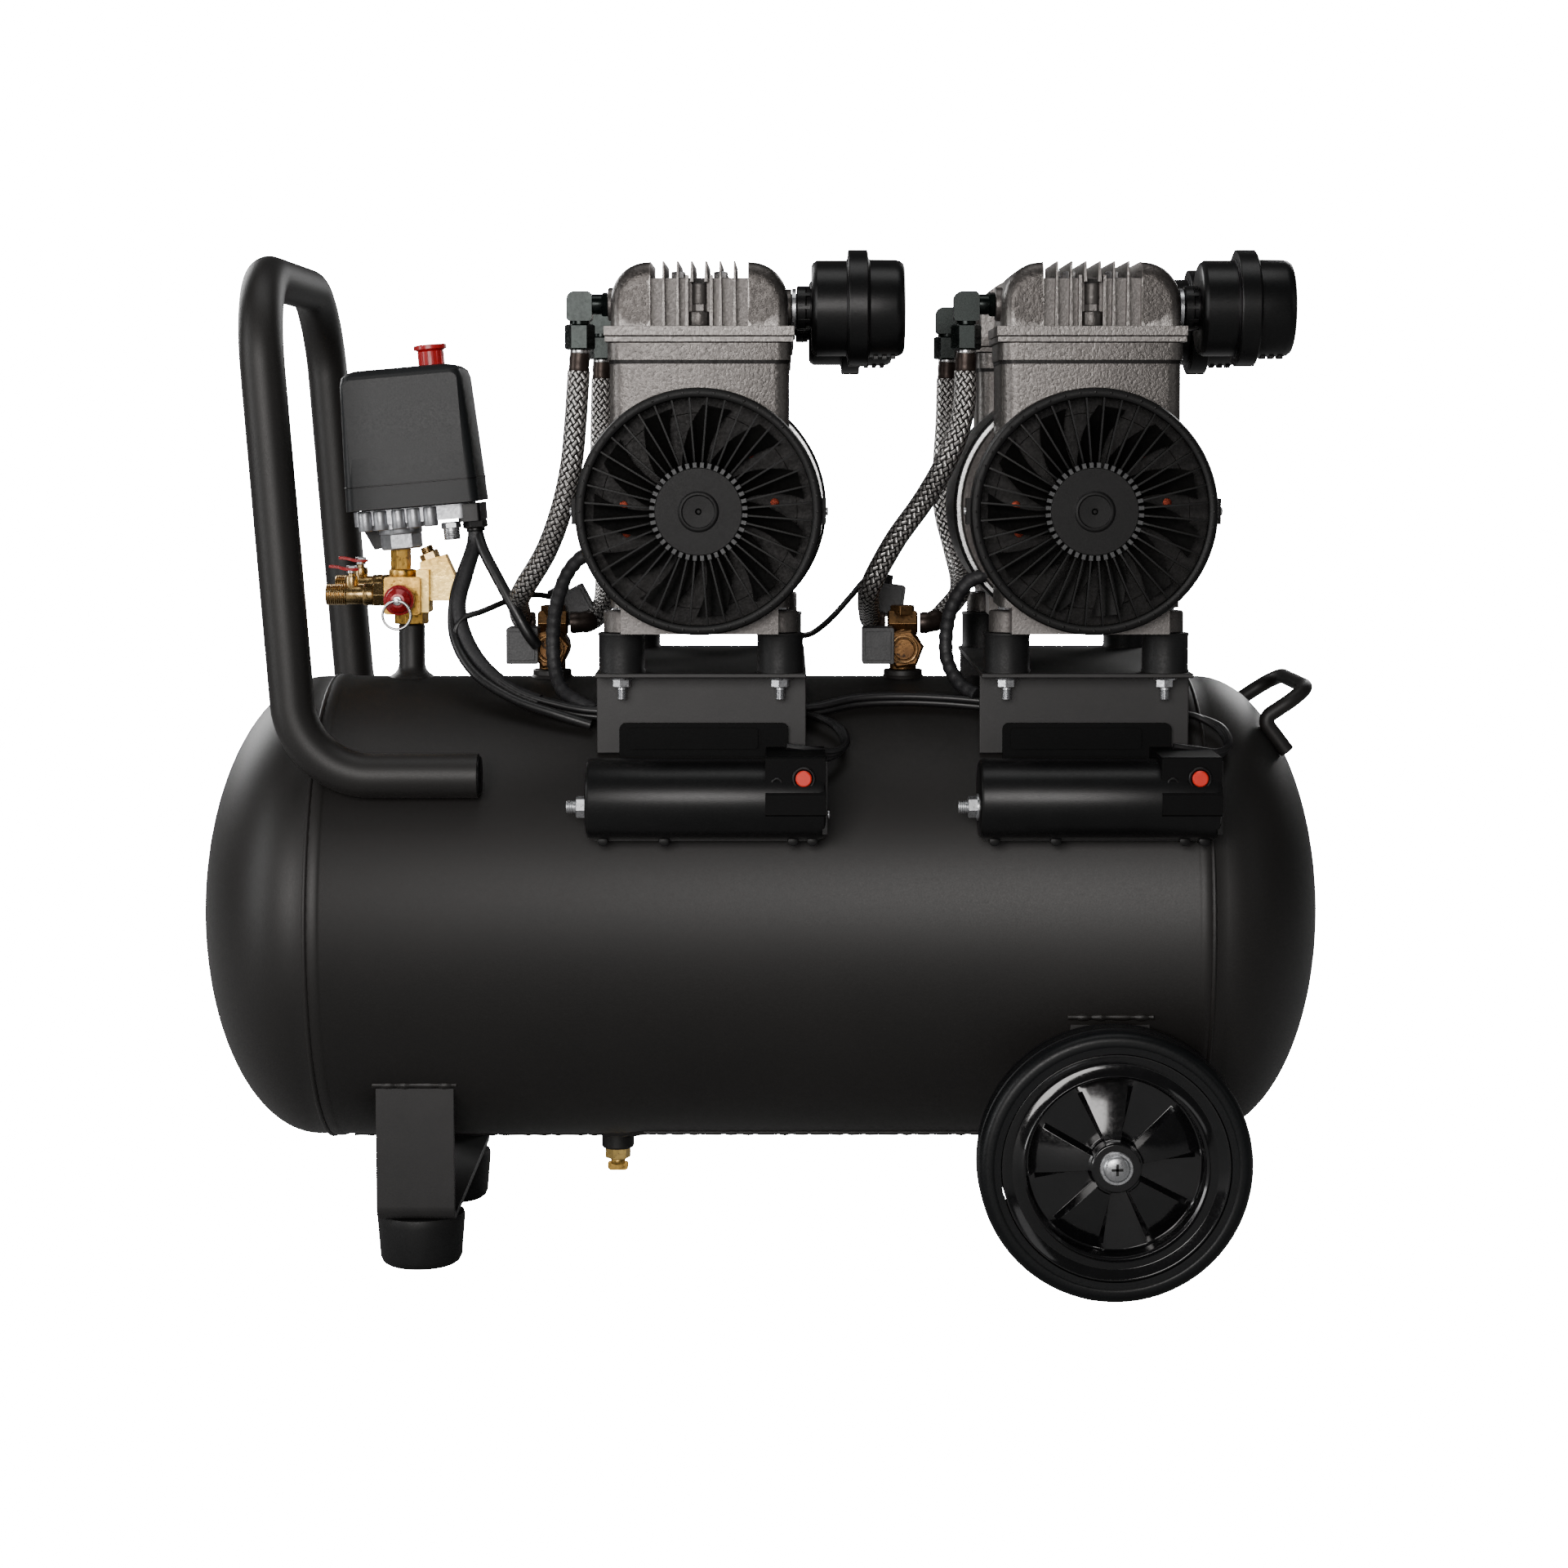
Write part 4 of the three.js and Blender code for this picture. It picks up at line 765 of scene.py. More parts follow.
def stator(name, x):
    casing = ring("y", 60, 80, (-50, 50), (x, 0, SHAFT_Z), 96, 1.5)
    bright = [ring("y", 70, 78.5, span, (x, 0, SHAFT_Z), 96, 0.5) for span in ((-53, -50.5), (50.5, 53))]
    coils = []
    for i in range(12):
        angle = TAU * i / 12
        centre = (x + 50 * math.cos(angle), 0, SHAFT_Z + 50 * math.sin(angle))
        coils.append(rod("y", 9, (-52, 52), centre, 16, 3))
    piece(f"stator_casing_{name}", [(STATOR, casing), (STEEL, *bright), (COPPER, *coils)],
          replaces=f"stator_housing_{name}")


def crankcase(name, x, side):
    """One end casting: its column with a collar and a parting line, its base with rounded lugs, and its bell."""
    column = extrude(rounded(x - 55.8, x + 55.8, -146, -64, 10), "z", (428, 579.4))
    # A near-black band just under the collar: a painted shadow line.
    groove = extrude(rounded(x - 56.2, x + 56.2, -146.3, -64, 9), "z", (579.3, 581.7))
    collar = extrude(rounded(x - 57, x + 57, -147, -64, 9), "z", (581.6, 592.2))
    rib = box((x - 0.35, x + 0.35), (-146.3, -140), (560, 579))
    rib_top = box((x - 0.35, x + 0.35), (-147.25, -140), (582.4, 591.6))
    base = box((x - 49, x + 49), (-146.6, -64), (411.6, 430))
    lugs, studs = [], []
    for across in (-1, 1):
        middle = x + across * MOUNT_X
        profile = [(0, 411.6), (11.4, 411.6), (11.4, 423.6), (10.6, 425), (0, 425)]
        lugs.append(lathe(profile, "z", (middle, -MOUNT_Y, 0), 40))
        lugs.append(box(sorted((middle, x + across * 40)), (-127, -105), (412, 423.4)))
        studs.append(hexagon("z", 10, (425, 430.4), (middle, -MOUNT_Y, 0), 0.2))
        studs.append(thread("z", 3, (430, 437.5), (middle, -MOUNT_Y, 0), 1.0, 0.35, 20))
    bell = ring("y", 52, 76, (-66, -53.6), (x, 0, SHAFT_Z), 96, 1.2)
    # The shroud and a disc behind the fan are near black: painted shade inside the guard.
    shroud = ring("y", 60, 74.8, (-148, -140), (x, 0, SHAFT_Z), 96, 0.8)
    dark = lathe([(0, -147.6), (60.5, -147.6), (60.5, -141), (0, -141)], "y", (x, 0, SHAFT_Z), 64)
    windings = []
    for i in range(7):
        angle = TAU * (i * i + 0.3) / 17
        centre = (x + 47 * math.cos(angle), 0, SHAFT_Z + 47 * math.sin(angle))
        windings.append(rod("y", 3.2, (-148, -144), centre, 12, 1.2))
    # The base, lugs and bell take the darker copy of the casting finish: painted shade.
    parts = [(CAST, column, collar, rib, rib_top), (CAST_SHADED, base, *lugs, bell)]
    parts += [(CAST_DARK, dark, shroud, groove), (COPPER, *windings), (ZINC, *studs)]
    piece(f"end_casting_{name}_{END[side]}", on_side(parts, side), replaces=f"crankcase_{name}_{END[side]}",
          bevel=0.9)


def lobe(x, side):
    """The smooth shoulder of a head, on the left or the right of its fins, with its ends rounded over."""
    outline = [(0, 0), (24.8, 0), (24.8, 14.6)]
    for i in range(1, 13):
        angle = i / 12 * math.pi / 2
        outline.append((1.2 + 23.6 * math.cos(angle), 14.6 + 25.2 * math.sin(angle) ** 0.92))
    outline.append((0, 40.2))
    turns = [t / 8 * math.pi / 2 for t in range(9)]
    rings = [(0.74 + 0.26 * math.sin(a), -138 - 9 * math.cos(a)) for a in turns]
    points, faces, n = [], [], len(outline)
    for scale, y in [(0.1, -147), (0.4, -147), (0.7, -147), *rings, (1, -64)]:
        points += [(x + side * (30.2 + u * scale), y, 602.4 + v * scale) for u, v in outline]
    for k in range(len(rings) + 3):
        faces += [(k * n + i, k * n + (i + 1) % n, (k + 1) * n + (i + 1) % n, (k + 1) * n + i) for i in range(n)]
    return points, [*faces, tuple(range(n)), tuple(range(len(points) - n, len(points)))], None


def head(name, x, side):
    end = END[side]
    layers = [box((x - 58.4, x + 58.4), (-147.4, -63), (592.7, 596.2)),
              box((x - 59, x + 59), (-148, -62), (596.6, 602.6))]
    middle = box((x - 31, x + 31), (-139.5, -68), (602.4, 632.4))
    fins = []
    for i in range(-2, 4):
        at = x + (i - 0.5) * 8.8
        inner = abs(i - 0.5) < 1
        low = 629.5 if inner else 602.4
        fin = [(at - 1.2, low), (at + 1.2, low), (at + 0.65, 642.4), (at - 0.65, 642.4)]
        fins.append(extrude(fin, "y", (-146.6, -64.4)))
        if inner:
            at += (i * 2 - 1) * 3.1
            wall = [(at - 1.2, 602.4), (at + 1.2, 602.4), (at + 1.1, 634), (at - 1.1, 634)]
            fins.append(extrude(wall, "y", (-145.8, -138)))
    boss = rod("z", 6.9, (602.4, 611.6), (x, -140, 0), 36, 0.8)
    ports = [rod("x", 10.5, (x - 58, x - 53), (0, -CYLINDER_Y, 617.3), 32, 0.6),
             rod("x", 12, (x + 53, x + 57.2), (0, -CYLINDER_Y, 614.8), 32, 0.6)]
    # A near-black plate on the block behind the bolt: painted shade in the recess.
    recess = box((x - 4.6, x + 4.6), (-139.9, -138), (606, 632))
    bolt = [hexagon("z", 8, (611.4, 616.4), (x, -140, 0), 0.1), rod("z", 4.6, (616, 629), (x, -139.6, 0), 24, 0.8)]
    corner_bolts = []
    for across in (-1, 1):
        for y in (-132, -80):
            corner_bolts.append(hexagon("z", 8, (632.2, 636.6), (x + across * 13.2, y, 0), 0.3))
    # The block between the fins takes the darker copy of the casting finish: painted shade in the gaps between the
    # fins.
    parts = [(CAST, *layers, *fins, boss, *ports), (CAST_SHADED, middle), (CAST_DARK, recess)]
    piece(f"head_{name}_{end}", on_side(parts, side), replaces=f"cylinder_head_{name}_{end}", bevel=0.35)
    piece(f"head_bolts_{name}_{end}", on_side([(CAST_SHADED, *bolt), (ZINC, *corner_bolts)], side))
    piece(f"head_lobes_{name}_{end}", on_side([(CAST, lobe(x, -1), lobe(x, 1))], side), crease=50)


RIBS, DOTS = 40, 48


def guard(name, x, side):
    rim = [(73.4, -148.6), (75.6, -148.6), (76, -150), (76, -165.4), (75.2, -167.4), (73.6, -168), (71.6, -168)]
    rim += [(70.4, -167.4), (70, -166.4), (70, -163), (71, -162.4), (73.2, -162.4), (73.4, -161.4)]
    parts = [lathe(rim, "y", (x, 0, SHAFT_Z), 120, closed=True)]
    hub = [(0, -163), (27.3, -163), (27.3, -167.2), (26.6, -168), (12.6, -168), (12.2, -168.5), (11.4, -168.8),
           (10.4, -168.8), (9.8, -168.2)]
    hub += [(2.0, -168.0), (1.6, -167.2), (1.1, -166.2), (0, -166.2)]
    parts.append(lathe(hub, "y", (x, 0, SHAFT_Z), 96))
    teeth, dots = [], []
    rib = [(27, -162.4), (70.6, -162.4), (70.6, -166.6), (66, -167.3), (34, -167.4), (29.8, -167), (27, -166)]
    for i in range(RIBS):
        spin = placed((x, 0, SHAFT_Z), 360 * (i + 0.5) / RIBS)
        parts.append(moved(extrude(rib, "z", (-0.62, 0.62)), spin))
        teeth.append(moved(box((26.9, 30.2), (-168, -163), (-1.25, 1.25)), spin))
    for i in range(DOTS):
        angle = TAU * i / DOTS
        centre = (x + 73.2 * math.cos(angle), 0, SHAFT_Z + 73.2 * math.sin(angle))
        dots.append(rod("y", 0.95, (-168.3, -167), centre, 8, 0.2))
    lugs, screws = [], []
    for across in (-1, 1):
        lugs.append(box(sorted((x + across * 73, x + across * 78.4)), (-160, -150), (SHAFT_Z - 8, SHAFT_Z + 8)))
        screws.append(rod("x", 2.6, sorted((x + across * 78, x + across * 79.8)), (0, -155, SHAFT_Z), 20, 0.5))
    groups = [(GUARD, *parts, *lugs), (COIL, *teeth), (FAN, *dots), (ZINC, *screws)]
    piece(f"grille_{name}_{END[side]}", on_side(groups, side), replaces=f"fan_guard_{name}_{END[side]}",
          bevel=0.25, segments=1)


def rotor(name, x):
    """The shaft with its core, eccentrics and two fans of curved blades."""
    steel = [rod("y", 7, (-160, 160), (x, 0, SHAFT_Z), 32, 0.6), rod("y", 40, (-40, 40), (x, 0, SHAFT_Z), 64, 0.8)]
    plastic = []
    for side in (-1, 1):
        steel.append(rod("y", 16, sorted((side * 97, side * 113)), (x, 0, SHAFT_Z + 8), 40, 0.6))
        steel.append(rod("y", 16, sorted((side * 81, side * 97.5)), (x, 0, SHAFT_Z - 8), 40, 0.6))
        plastic.append(rod("y", 21, sorted((side * 150.4, side * 160.6)), (x, 0, SHAFT_Z), 48, 1.0))
        for i in range(11):
            angle = TAU * i / 11
            points, faces = [], []
            steps = 6
            for k in range(steps + 1):
                t = k / steps
                r = 19 + 46.5 * t
                bow = angle + side * 0.32 * t**1.4
                half = 9.5 + 2.5 * t
                for thick in (-0.55, 0.55):
                    for edge in (-1, 1):
                        twist = edge * half / r
                        lift = edge * (4.2 - 0.8 * t)
                        a = bow + twist * 0.75
                        points.append((x + r * math.cos(a), side * (155.5 + lift) + thick,
                                       SHAFT_Z + r * math.sin(a)))
            for k in range(steps):
                o = 4 * k
                faces += [(o, o + 1, o + 5, o + 4), (o + 2, o + 6, o + 7, o + 3), (o, o + 4, o + 6, o + 2),
                          (o + 1, o + 3, o + 7, o + 5)]
            faces += [(0, 2, 3, 1), (4 * steps, 4 * steps + 1, 4 * steps + 3, 4 * steps + 2)]
            plastic.append((points, faces, None))
    piece(f"shaft_and_fans_{name}", [(STEEL, *steel), (FAN, *plastic)], f"rotor_{name}", f"rotor_{name}")


def air_filter(name, x, side):
    y, z = -CYLINDER_Y, COLUMN_TOP + 22.5
    neck = [(0, 55.6), (9, 55.6), (9, 60.2), (13.6, 60.4), (14, 61), (14, 66), (12.4, 66.4), (12.4, 70.4),
            (0, 70.4)]
    body = [(0, 69.6), (26.6, 69.6), (28.4, 70.6), (30, 73), (30, 91.6), (31.2, 91.8), (31.2, 92.4), (35.6, 92.4),
            (36.3, 93.2)]
    body += [(36.3, 104.2), (35.6, 105), (31.4, 105), (31.4, 105.6), (30.6, 106), (30.4, 122), (29.8, 125),
             (28.2, 127.2), (26, 128), (0, 128)]
    parts = [lathe(neck, "x", (x, y, z), 48), lathe(body, "x", (x, y, z), 96)]
    for up in (-1, 1):
        parts.append(box((x + 92.6, x + 104.6), (y - 5, y + 5), sorted((z + up * 34, z + up * 36.4))))
    for k in range(3):
        parts.append(box((x + 108.5 + 5.5 * k, x + 111.5 + 5.5 * k), (y - 6, y + 6), (z - 31.8, z - 29)))
    for k in range(10):
        parts.append(moved(box((61.6, 69), (12, 14.2), (-1.2, 1.2)), placed((x, y, z), 36 * k, "X")))
    gasket = lathe([(10, 57.4), (12.4, 57.4), (12.4, 60), (10, 60)], "x", (x, y, z), 40, closed=True)
    groups = on_side([(PLASTIC, *parts), (ZINC, gasket)], side)
    piece(f"filter_{name}_{END[side]}", groups, replaces=f"air_filter_{name}_{END[side]}", bevel=0.4)


def capacitor_box(name, x):
    """The moulded box: a round barrel, a flat block with the button's well, a plate behind and a ridge below."""
    barrel = [(0, -70), (22.4, -70), (24, -69.2), (25, -67.4), (25, 74), (24.4, 77), (22.8, 78), (0, 78)]
    barrel = lathe(barrel, "x", (x, BOX_Y, BOX_Z), 72)
    face = [(-110, BOX_Z + 28), (BOX_Y - 20, BOX_Z + 28), (BOX_Y - 21, BOX_Z + 27), (BOX_Y - 21, BOX_Z + 9.8)]
    face += [(BOX_Y - 25.6, BOX_Z + 5), (BOX_Y - 25.6, BOX_Z - 7), (BOX_Y - 24, BOX_Z - 8), (-110, BOX_Z - 8)]
    flat = extrude(face, "x", (x + 41, x + 78))
    plate = extrude(rounded(x - 52, x + 55, BOX_Z - 4, BOX_Z + 43, (0, 0, 4, 4)), "y", (-112.2, -108.4))
    border = extrude(rounded(x - 47, x + 36, BOX_Z + 26.5, BOX_Z + 40.2, 2.5), "y", (-113.2, -111.8))
    shelf = box((x - 52, x + 52), (-134, -109), (BOX_Z + 15, BOX_Z + 20))
    ridge = box((x - 66, x + 74), (BOX_Y + 2, BOX_Y + 9), (BOX_Z - 26.6, BOX_Z - 22))
    lugs = [rod("y", 3.4, (BOX_Y - 3, BOX_Y + 8), (x + u, 0, BOX_Z - 26), 20, 0.5) for u in (-60, -22, 58, 70)]
    collar = ring("y", 5.5, 7.2, (BOX_Y - 22.6, BOX_Y - 20.4), (x + 64.5, 0, BOX_Z + 15), 40, 0.5)
    hole = ring("y", 2.2, 3.6, (BOX_Y - 21.6, BOX_Y - 20.2), (x + 48, 0, BOX_Z + 12), 28, 0.4)
    edge = box((x + 76, x + 79.2), (BOX_Y - 18, BOX_Y + 4), (BOX_Z - 20, BOX_Z + 25))
    parts = [barrel, shelf, ridge, *lugs, collar, hole, edge]
    at = (x, BOX_Y, BOX_Z - 5)
    stud = [hexagon("x", 12, (-76.6, -70), at, 0.2), thread("x", 4, (-82.5, -76.4), at, 1.25, 0.4, 24)]
    stud.append(rod("x", 8.4, (-71, -69.8), at, 32))
    stud.append(rod("x", 2.6, (x + 79, x + 80.8), (0, BOX_Y - 6, BOX_Z - 9), 20, 0.6))
    piece(f"run_box_{name}", [(PLASTIC, *parts), (MATTE, flat, plate, border), (ZINC, *stud)],
          replaces=f"capacitor_box_{name}", bevel=0.6)
    button = [(0, -179), (4.2, -179), (4.9, -178.2), (4.9, -167.2), (0, -167.2)]
    piece(f"button_{name}", [(ORANGE, lathe(button, "y", (x + 64.5, 0, BOX_Z + 15), 40))], f"reset_button_{name}",
          f"reset_button_{name}")


for name, x in MOTORS.items():
    motor_bracket(name, x)
    stator(name, x)
    rotor(name, x)
    capacitor_box(name, x)
    for side in (-1, 1):
        crankcase(name, x, side)
        head(name, x, side)
        guard(name, x, side)
        air_filter(name, x, side)
        paint(f"piston_{name}_{END[side]}", STEEL)

# ---------------------------------------------------------------- hoses, valves and cables

HOSES = {
    ("left", -1): [(-116, -110, 545), (-119, -105, 518), (-126, -91, 490), (-138, -70, 461), (-154, -49, 436),
                   (-160, -28, 426), (-161, -9, 419), (-160, 4, 412), (-155, 7.6, 409.7), (-150.6, TEE_Y, TEE_Z)],
    ("left", 1): [(-114, 112, 545), (-114, 106, 515), (-113, 98, 480), (-110, 84, 452), (-108, 62, 434),
                  (-108, 38, 421), (-112, 20, 413), (-118, 10, 410), (-125, 8.2, 409.6), (-129.4, TEE_Y, TEE_Z)],
    ("right", -1): [(128, -110, 548), (119, -104, 521), (105, -84, 494), (87, -66, 467), (72, -48, 437),
                    (71, -28, 426), (72, -9, 419), (74, 4, 412), (80, 7.6, 409.7), (84.4, TEE_Y, TEE_Z)],
    ("right", 1): [(129, 112, 545), (127, 106, 515), (127, 98, 485), (133, 88, 458), (137, 70, 438),
                   (135, 46, 427), (126, 26, 418), (117, 11, 411), (110, 8.2, 409.6), (105.6, TEE_Y, TEE_Z)],
}
ELBOW_X, ELBOW_Z, ELBOW_Y = -76, COLUMN_TOP + 25, 112


def part_of(route, start, end):
    """The stretch of a route from one length to another."""
    lengths = [0.0]
    for a, b in zip(route, route[1:]):
        lengths.append(lengths[-1] + (b - a).length)
    end = end if end > 0 else lengths[-1] + end
    kept = [p for p, s in zip(route, lengths) if start < s < end]

    def at(s):
        j = max(i for i, value in enumerate(lengths) if value <= s + 1e-9)
        j = min(j, len(route) - 2)
        return route[j].lerp(route[j + 1], (s - lengths[j]) / (lengths[j + 1] - lengths[j]))

    return [at(start), *kept, at(end)]


def hose(name, x, side):
    end = END[side]
    y, ex = side * ELBOW_Y, x + ELBOW_X
    stub = [hexagon("x", 14, (x - 62, x - 57.8), (0, y, ELBOW_Z), 0.2),
            rod("x", 6.4, (x - 70, x - 61), (0, y, ELBOW_Z), 32, 0.4)]
    block = extrude(rounded(ex - 8, ex + 8, ELBOW_Z - 10.5, ELBOW_Z + 8, (2, 2, 3, 5)), "y", (y - 7.6, y + 7.6))
    neck = rod("z", 6.6, (ELBOW_Z - 14, ELBOW_Z - 10), (ex, y, 0), 32)
    nut = hexagon("z", 16.6, (ELBOW_Z - 28.5, ELBOW_Z - 12.5), (ex, y, 0), 0.0, 1.4)
    washer = rod("z", 6.2, (ELBOW_Z - 31, ELBOW_Z - 28), (ex, y, 0), 32, 0.6)
    route = smooth([(ex, y, ELBOW_Z - 30), *HOSES[name, side]], 110)
    ferrule = tube(part_of(route, 0.4, 12), lambda s: 6.3 + 0.35 * math.sin(s * 1.9) ** 2, 32)
    braid = tube(part_of(route, 11.6, -15), 7.15, 40)
    tail = part_of(route, sum((b - a).length for a, b in zip(route, route[1:])) - 16, -1.2)
    cuff = tube(tail, lambda s: 7.1 - 0.3 * math.cos(s * 0.8), 32)
    parts = [(GREEN, *stub, block, neck, nut), (STEEL, washer), (FERRULE, ferrule, cuff), (BRAID, braid)]
    piece(f"braided_hose_{name}_{end}", parts, replaces=f"hose_{name}_{end}", bevel=0.35)


def check_valve(name, x):
    """The non-return valve with its front plug, and the solenoid with its connector on its left."""
    centre = (x, 0, VALVE_Z)
    body = [rod("z", 9, (379.3, VALVE_Z), (x, 0, 0), 36), rod("y", 11.4, (-9, 21), centre, 48, 1.0)]
    plug = [hexagon("y", 23.6, (-20, -9.6), centre, 0.15, 1.6),
            ring("y", 7.6, 9.6, (-21.4, -19.6), centre, 48, 0.5)]
    plug.append(lathe([(0, -20.8), (6.8, -20.8), (7.2, -20.2), (7.2, -19), (0, -19)], "y", centre, 40))
    plug.append(rod("y", 12.4, (-10.2, -8.6), centre, 48, 0.5))
    tee = [rod("z", 7, (VALVE_Z, TEE_Z), (x, TEE_Y, 0), 32),
           hexagon("x", 16, (x - 10, x + 10), (0, TEE_Y, TEE_Z), 0.0, 1.2)]
    tee.append(hexagon("z", 15, (TEE_Z + 5, TEE_Z + 12), (x, TEE_Y, 0), 0.3))
    middle, foot = x - 17.5, VALVE_Z - 9
    coil = extrude(rounded(middle - 10.5, middle + 10.5, foot, foot + 24, 1.2, 3), "y", (-32, -8))
    slot = box((middle - 8.6, middle + 8.6), (-32.5, -31.6), (foot + 2.4, foot + 21.6))
    stem = rod("x", 4.2, (middle, x), (0, -13.3, VALVE_Z), 24)
    groups = [(BRONZE, *body, *plug, *tee), (COIL, coil, slot), (BLACKENED_AND_SHADE, stem)]
    piece(f"valve_{name}", groups, replaces=f"check_valve_{name}", bevel=0.5)
    up_x, up_z = (x + 14, 421) if name == "left" else (x - 9, 424)
    spin = placed((up_x, 26, up_z), -28 if name == "left" else 8)
    plug_box = moved(extrude(rounded(-10.5, 10.5, -11, 11, 1.4, 3), "y", (-9, 9)), spin)
    lid = moved(box((-8.5, 8.5), (-9.8, -8.8), (-9, 9)), spin)
    gland = moved(hexagon("z", 13, (10, 17), (-6, 0, 0), 0.2), spin)
    piece(f"coil_plug_{name}", [(COIL, plug_box, lid), (PLASTIC, gland)], bevel=0.5)


LOOM = [(-189, -18, 473), (-190, -20, 463), (-194, -32, 445), (-198, -43, 424), (-192, -52, 402), (-178, -62, 383),
        (-156, -71, 368),
        (-128, -79, 360), (-106, -84, 357), (-60, -84, 357), (0, -84, 357), (34, -80, 359), (62, -71, 364),
        (90, -68, 365), (122, -70, 364), (160, -76, 361), (190, -80, 359)]
COIL_LEAD = [(-188, -18, 472), (-184, -24, 461), (-173, -32, 441), (-161, -38, 420), (-152, -39, 404),
             (-147, -36, 397)]


def beside(route, offset):
    """A route moved sideways and up, for the wires of a bundle."""
    return [(x + offset[0], y + offset[1], z + offset[2]) for x, y, z in route]


def cables():
    sleeve, wires = [], []
    main = smooth(LOOM, 200)
    sleeve.append(tube(part_of(main, 0.5, 150), lambda s: 5.0 + 0.12 * math.sin(s * 1.3), 20))
    for k, offset in enumerate([(0, -2.6, 1.6), (0, 2.4, 1.8), (0, 0.2, -2.3)]):
        wires.append(tube(part_of(smooth(beside(LOOM, offset), 160), 120, -2), 2.4, 14))
    wires.append(tube(smooth(COIL_LEAD, 50), 3.8, 16))
    branch = [(-196, -50, 398), (-199, -52, 408), (-194, -50, 416), (-183, -46, 420), (-173, -34, 424),
              (-164, -8, 427), (-150, 14, 428), (-134, 24, 424)]
    wires.append(tube(smooth(branch, 60), 2.0, 12))
    second = [(-189, -18, 472), (-193, -24, 458), (-201, -40, 430), (-200, -52, 404), (-186, -66, 382),
              (-160, -78, 366), (-132, -87, 357), (-108, -92, 350)]
    wires.append(tube(smooth(second, 80), 3.2, 14))
    across = [(26, -60, 405), (34, -44, 406), (46, -24, 414), (60, -4, 428), (70, 12, 438), (77, 22, 440)]
    wires.append(tube(smooth(across, 60), 2.0, 12))
    for name, x in MOTORS.items():
        lead = [(x - 57, -62, 446), (x - 72, -62, 441), (x - 83, -58, 425), (x - 87, -54, 405), (x - 86, -57, 388),
                (x - 78, -66, 374), (x - 68, -75, 368)]
        if name == "left":
            lead = [(-96, -62, 464), (-112, -62, 459), (-124, -57, 448), (-133, -50, 426), (-136, -46, 400),
                    (-134, -50, 381), (-128, -60, 369), (-118, -70, 363), (-106, -77, 358)]
        else:
            lead = [(px + 2, py, pz) for px, py, pz in lead]
        sleeve.append(tube(smooth(lead, 90), lambda s: 4.6 + 0.25 * math.sin(s * 0.9), 18))
        for k in range(3):
            feed = [(x + 60 + k, -84 + 3 * k, 357), (x + 74, -90 + k, 355), (x + 87 + k, -100, 347 + k),
                    (x + 90 + k, -112, 338 + k), (x + 81 + k, -122, 332 + 2 * k),
                    (x + 68, -124 - 2 * k, 332 + 3 * k), (x + 54, -126 - 2 * k, 333 + 3.5 * k)]
            wires.append(tube(smooth(feed, 60), 2.2, 10))
    piece("loom_sleeves", [(SLEEVE, *sleeve)], replaces="wiring_harness")
    piece("loom_wires", [(SHEATH, *wires)])


for name, x in MOTORS.items():
    for side in (-1, 1):
        hose(name, x, side)
for name, x in VALVES.items():
    check_valve(name, x)
cables()

# ---------------------------------------------------------------- outlet manifold, taps and safety valve


def tap_shapes(y, z):
    """A quarter-turn tap along the tank: threaded end, body, hexagon and stem."""
    turned = [thread("x", 7.2, (-291, -277), (0, y, z), 1.35, 0.6, 40),
              rod("x", 6.6, (-278, -262), (0, y, z), 40, 0.6)]
    turned.append(rod("x", 7.4, (-266, -259), (0, y, z), 40, 0.8))
    turned.append(hexagon("x", 14.6, (-259.5, -250.4), (0, y, z), 0.0, 1.0))
    turned.append(rod("z", 4.6, (z + 4, z + 12.4), (TAP_X, y, 0), 32, 0.5))
    turned.append(rod("z", 2.4, (z + 11, z + 14), (TAP_X, y, 0), 20))
    return turned


def lever_shape(z):
    """A bent lever with a dished, rounded paddle, seen from above."""
    points, faces = [], []
    stations = [(4.6, 2.6, 1.6), (2, 3.8, 1.6), (-3, 4.2, 1.7), (-6, 3.0, 2.2), (-9, 3.0, 3.1), (-12, 4.0, 3.5),
                (-14.2, 3.6, 3.6), (-15, 2.2, 3.6)]
    for along, half, lift in stations:
        for y, up in ((-half, lift), (half, lift), (half, lift + 1.9), (-half, lift + 1.9)):
            points.append((TAP_X + along, y, z + up))
    for k in range(len(stations) - 1):
        o = 4 * k
        faces += [(o + i, o + (i + 1) % 4, o + 4 + (i + 1) % 4, o + 4 + i) for i in range(4)]
    last = 4 * (len(stations) - 1)
    faces += [(0, 3, 2, 1), (last, last + 1, last + 2, last + 3)]
    return points, faces, None


block = extrude(rounded(MANIFOLD_X - 12, MANIFOLD_X + 12, MANIFOLD_Z - 12.5, MANIFOLD_Z + 12.5, 2, 4), "y",
                (-20, 12))
collar = [rod("z", 9, (MANIFOLD_Z + 12, MANIFOLD_Z + 17), (-240, 0, 0), 48, 0.8),
          hexagon("z", 12, (MANIFOLD_Z + 16.5, 463), (-241, 0, 0), 0.25, 0.8)]
foot_hex = hexagon("z", 20, (409.3, 418.4), (-234, 0, 0), 0.26, 1.0)
angled = [(-228, 425), (-203.2, 425), (-203.2, 439), (-211, 456), (-228, 451)]
angle_block = extrude(angled, "y", (-4, 12))
lip = box((-229.5, -221), (-12, 12), (417.5, 446))
lean_nut = placed((-221.5, 4, 453), -22)
nut = [moved(hexagon("z", 11.5, (-2, 4.6), turn=0.1), lean_nut),
       moved(thread("z", 4.4, (4.4, 8.6), (0, 0, 0), 1.2, 0.4, 24), lean_nut)]
rear = [rod("y", 7, (10, 51), (-240, 0, 433), 36, 0.8), *tap_shapes(44, 433)]
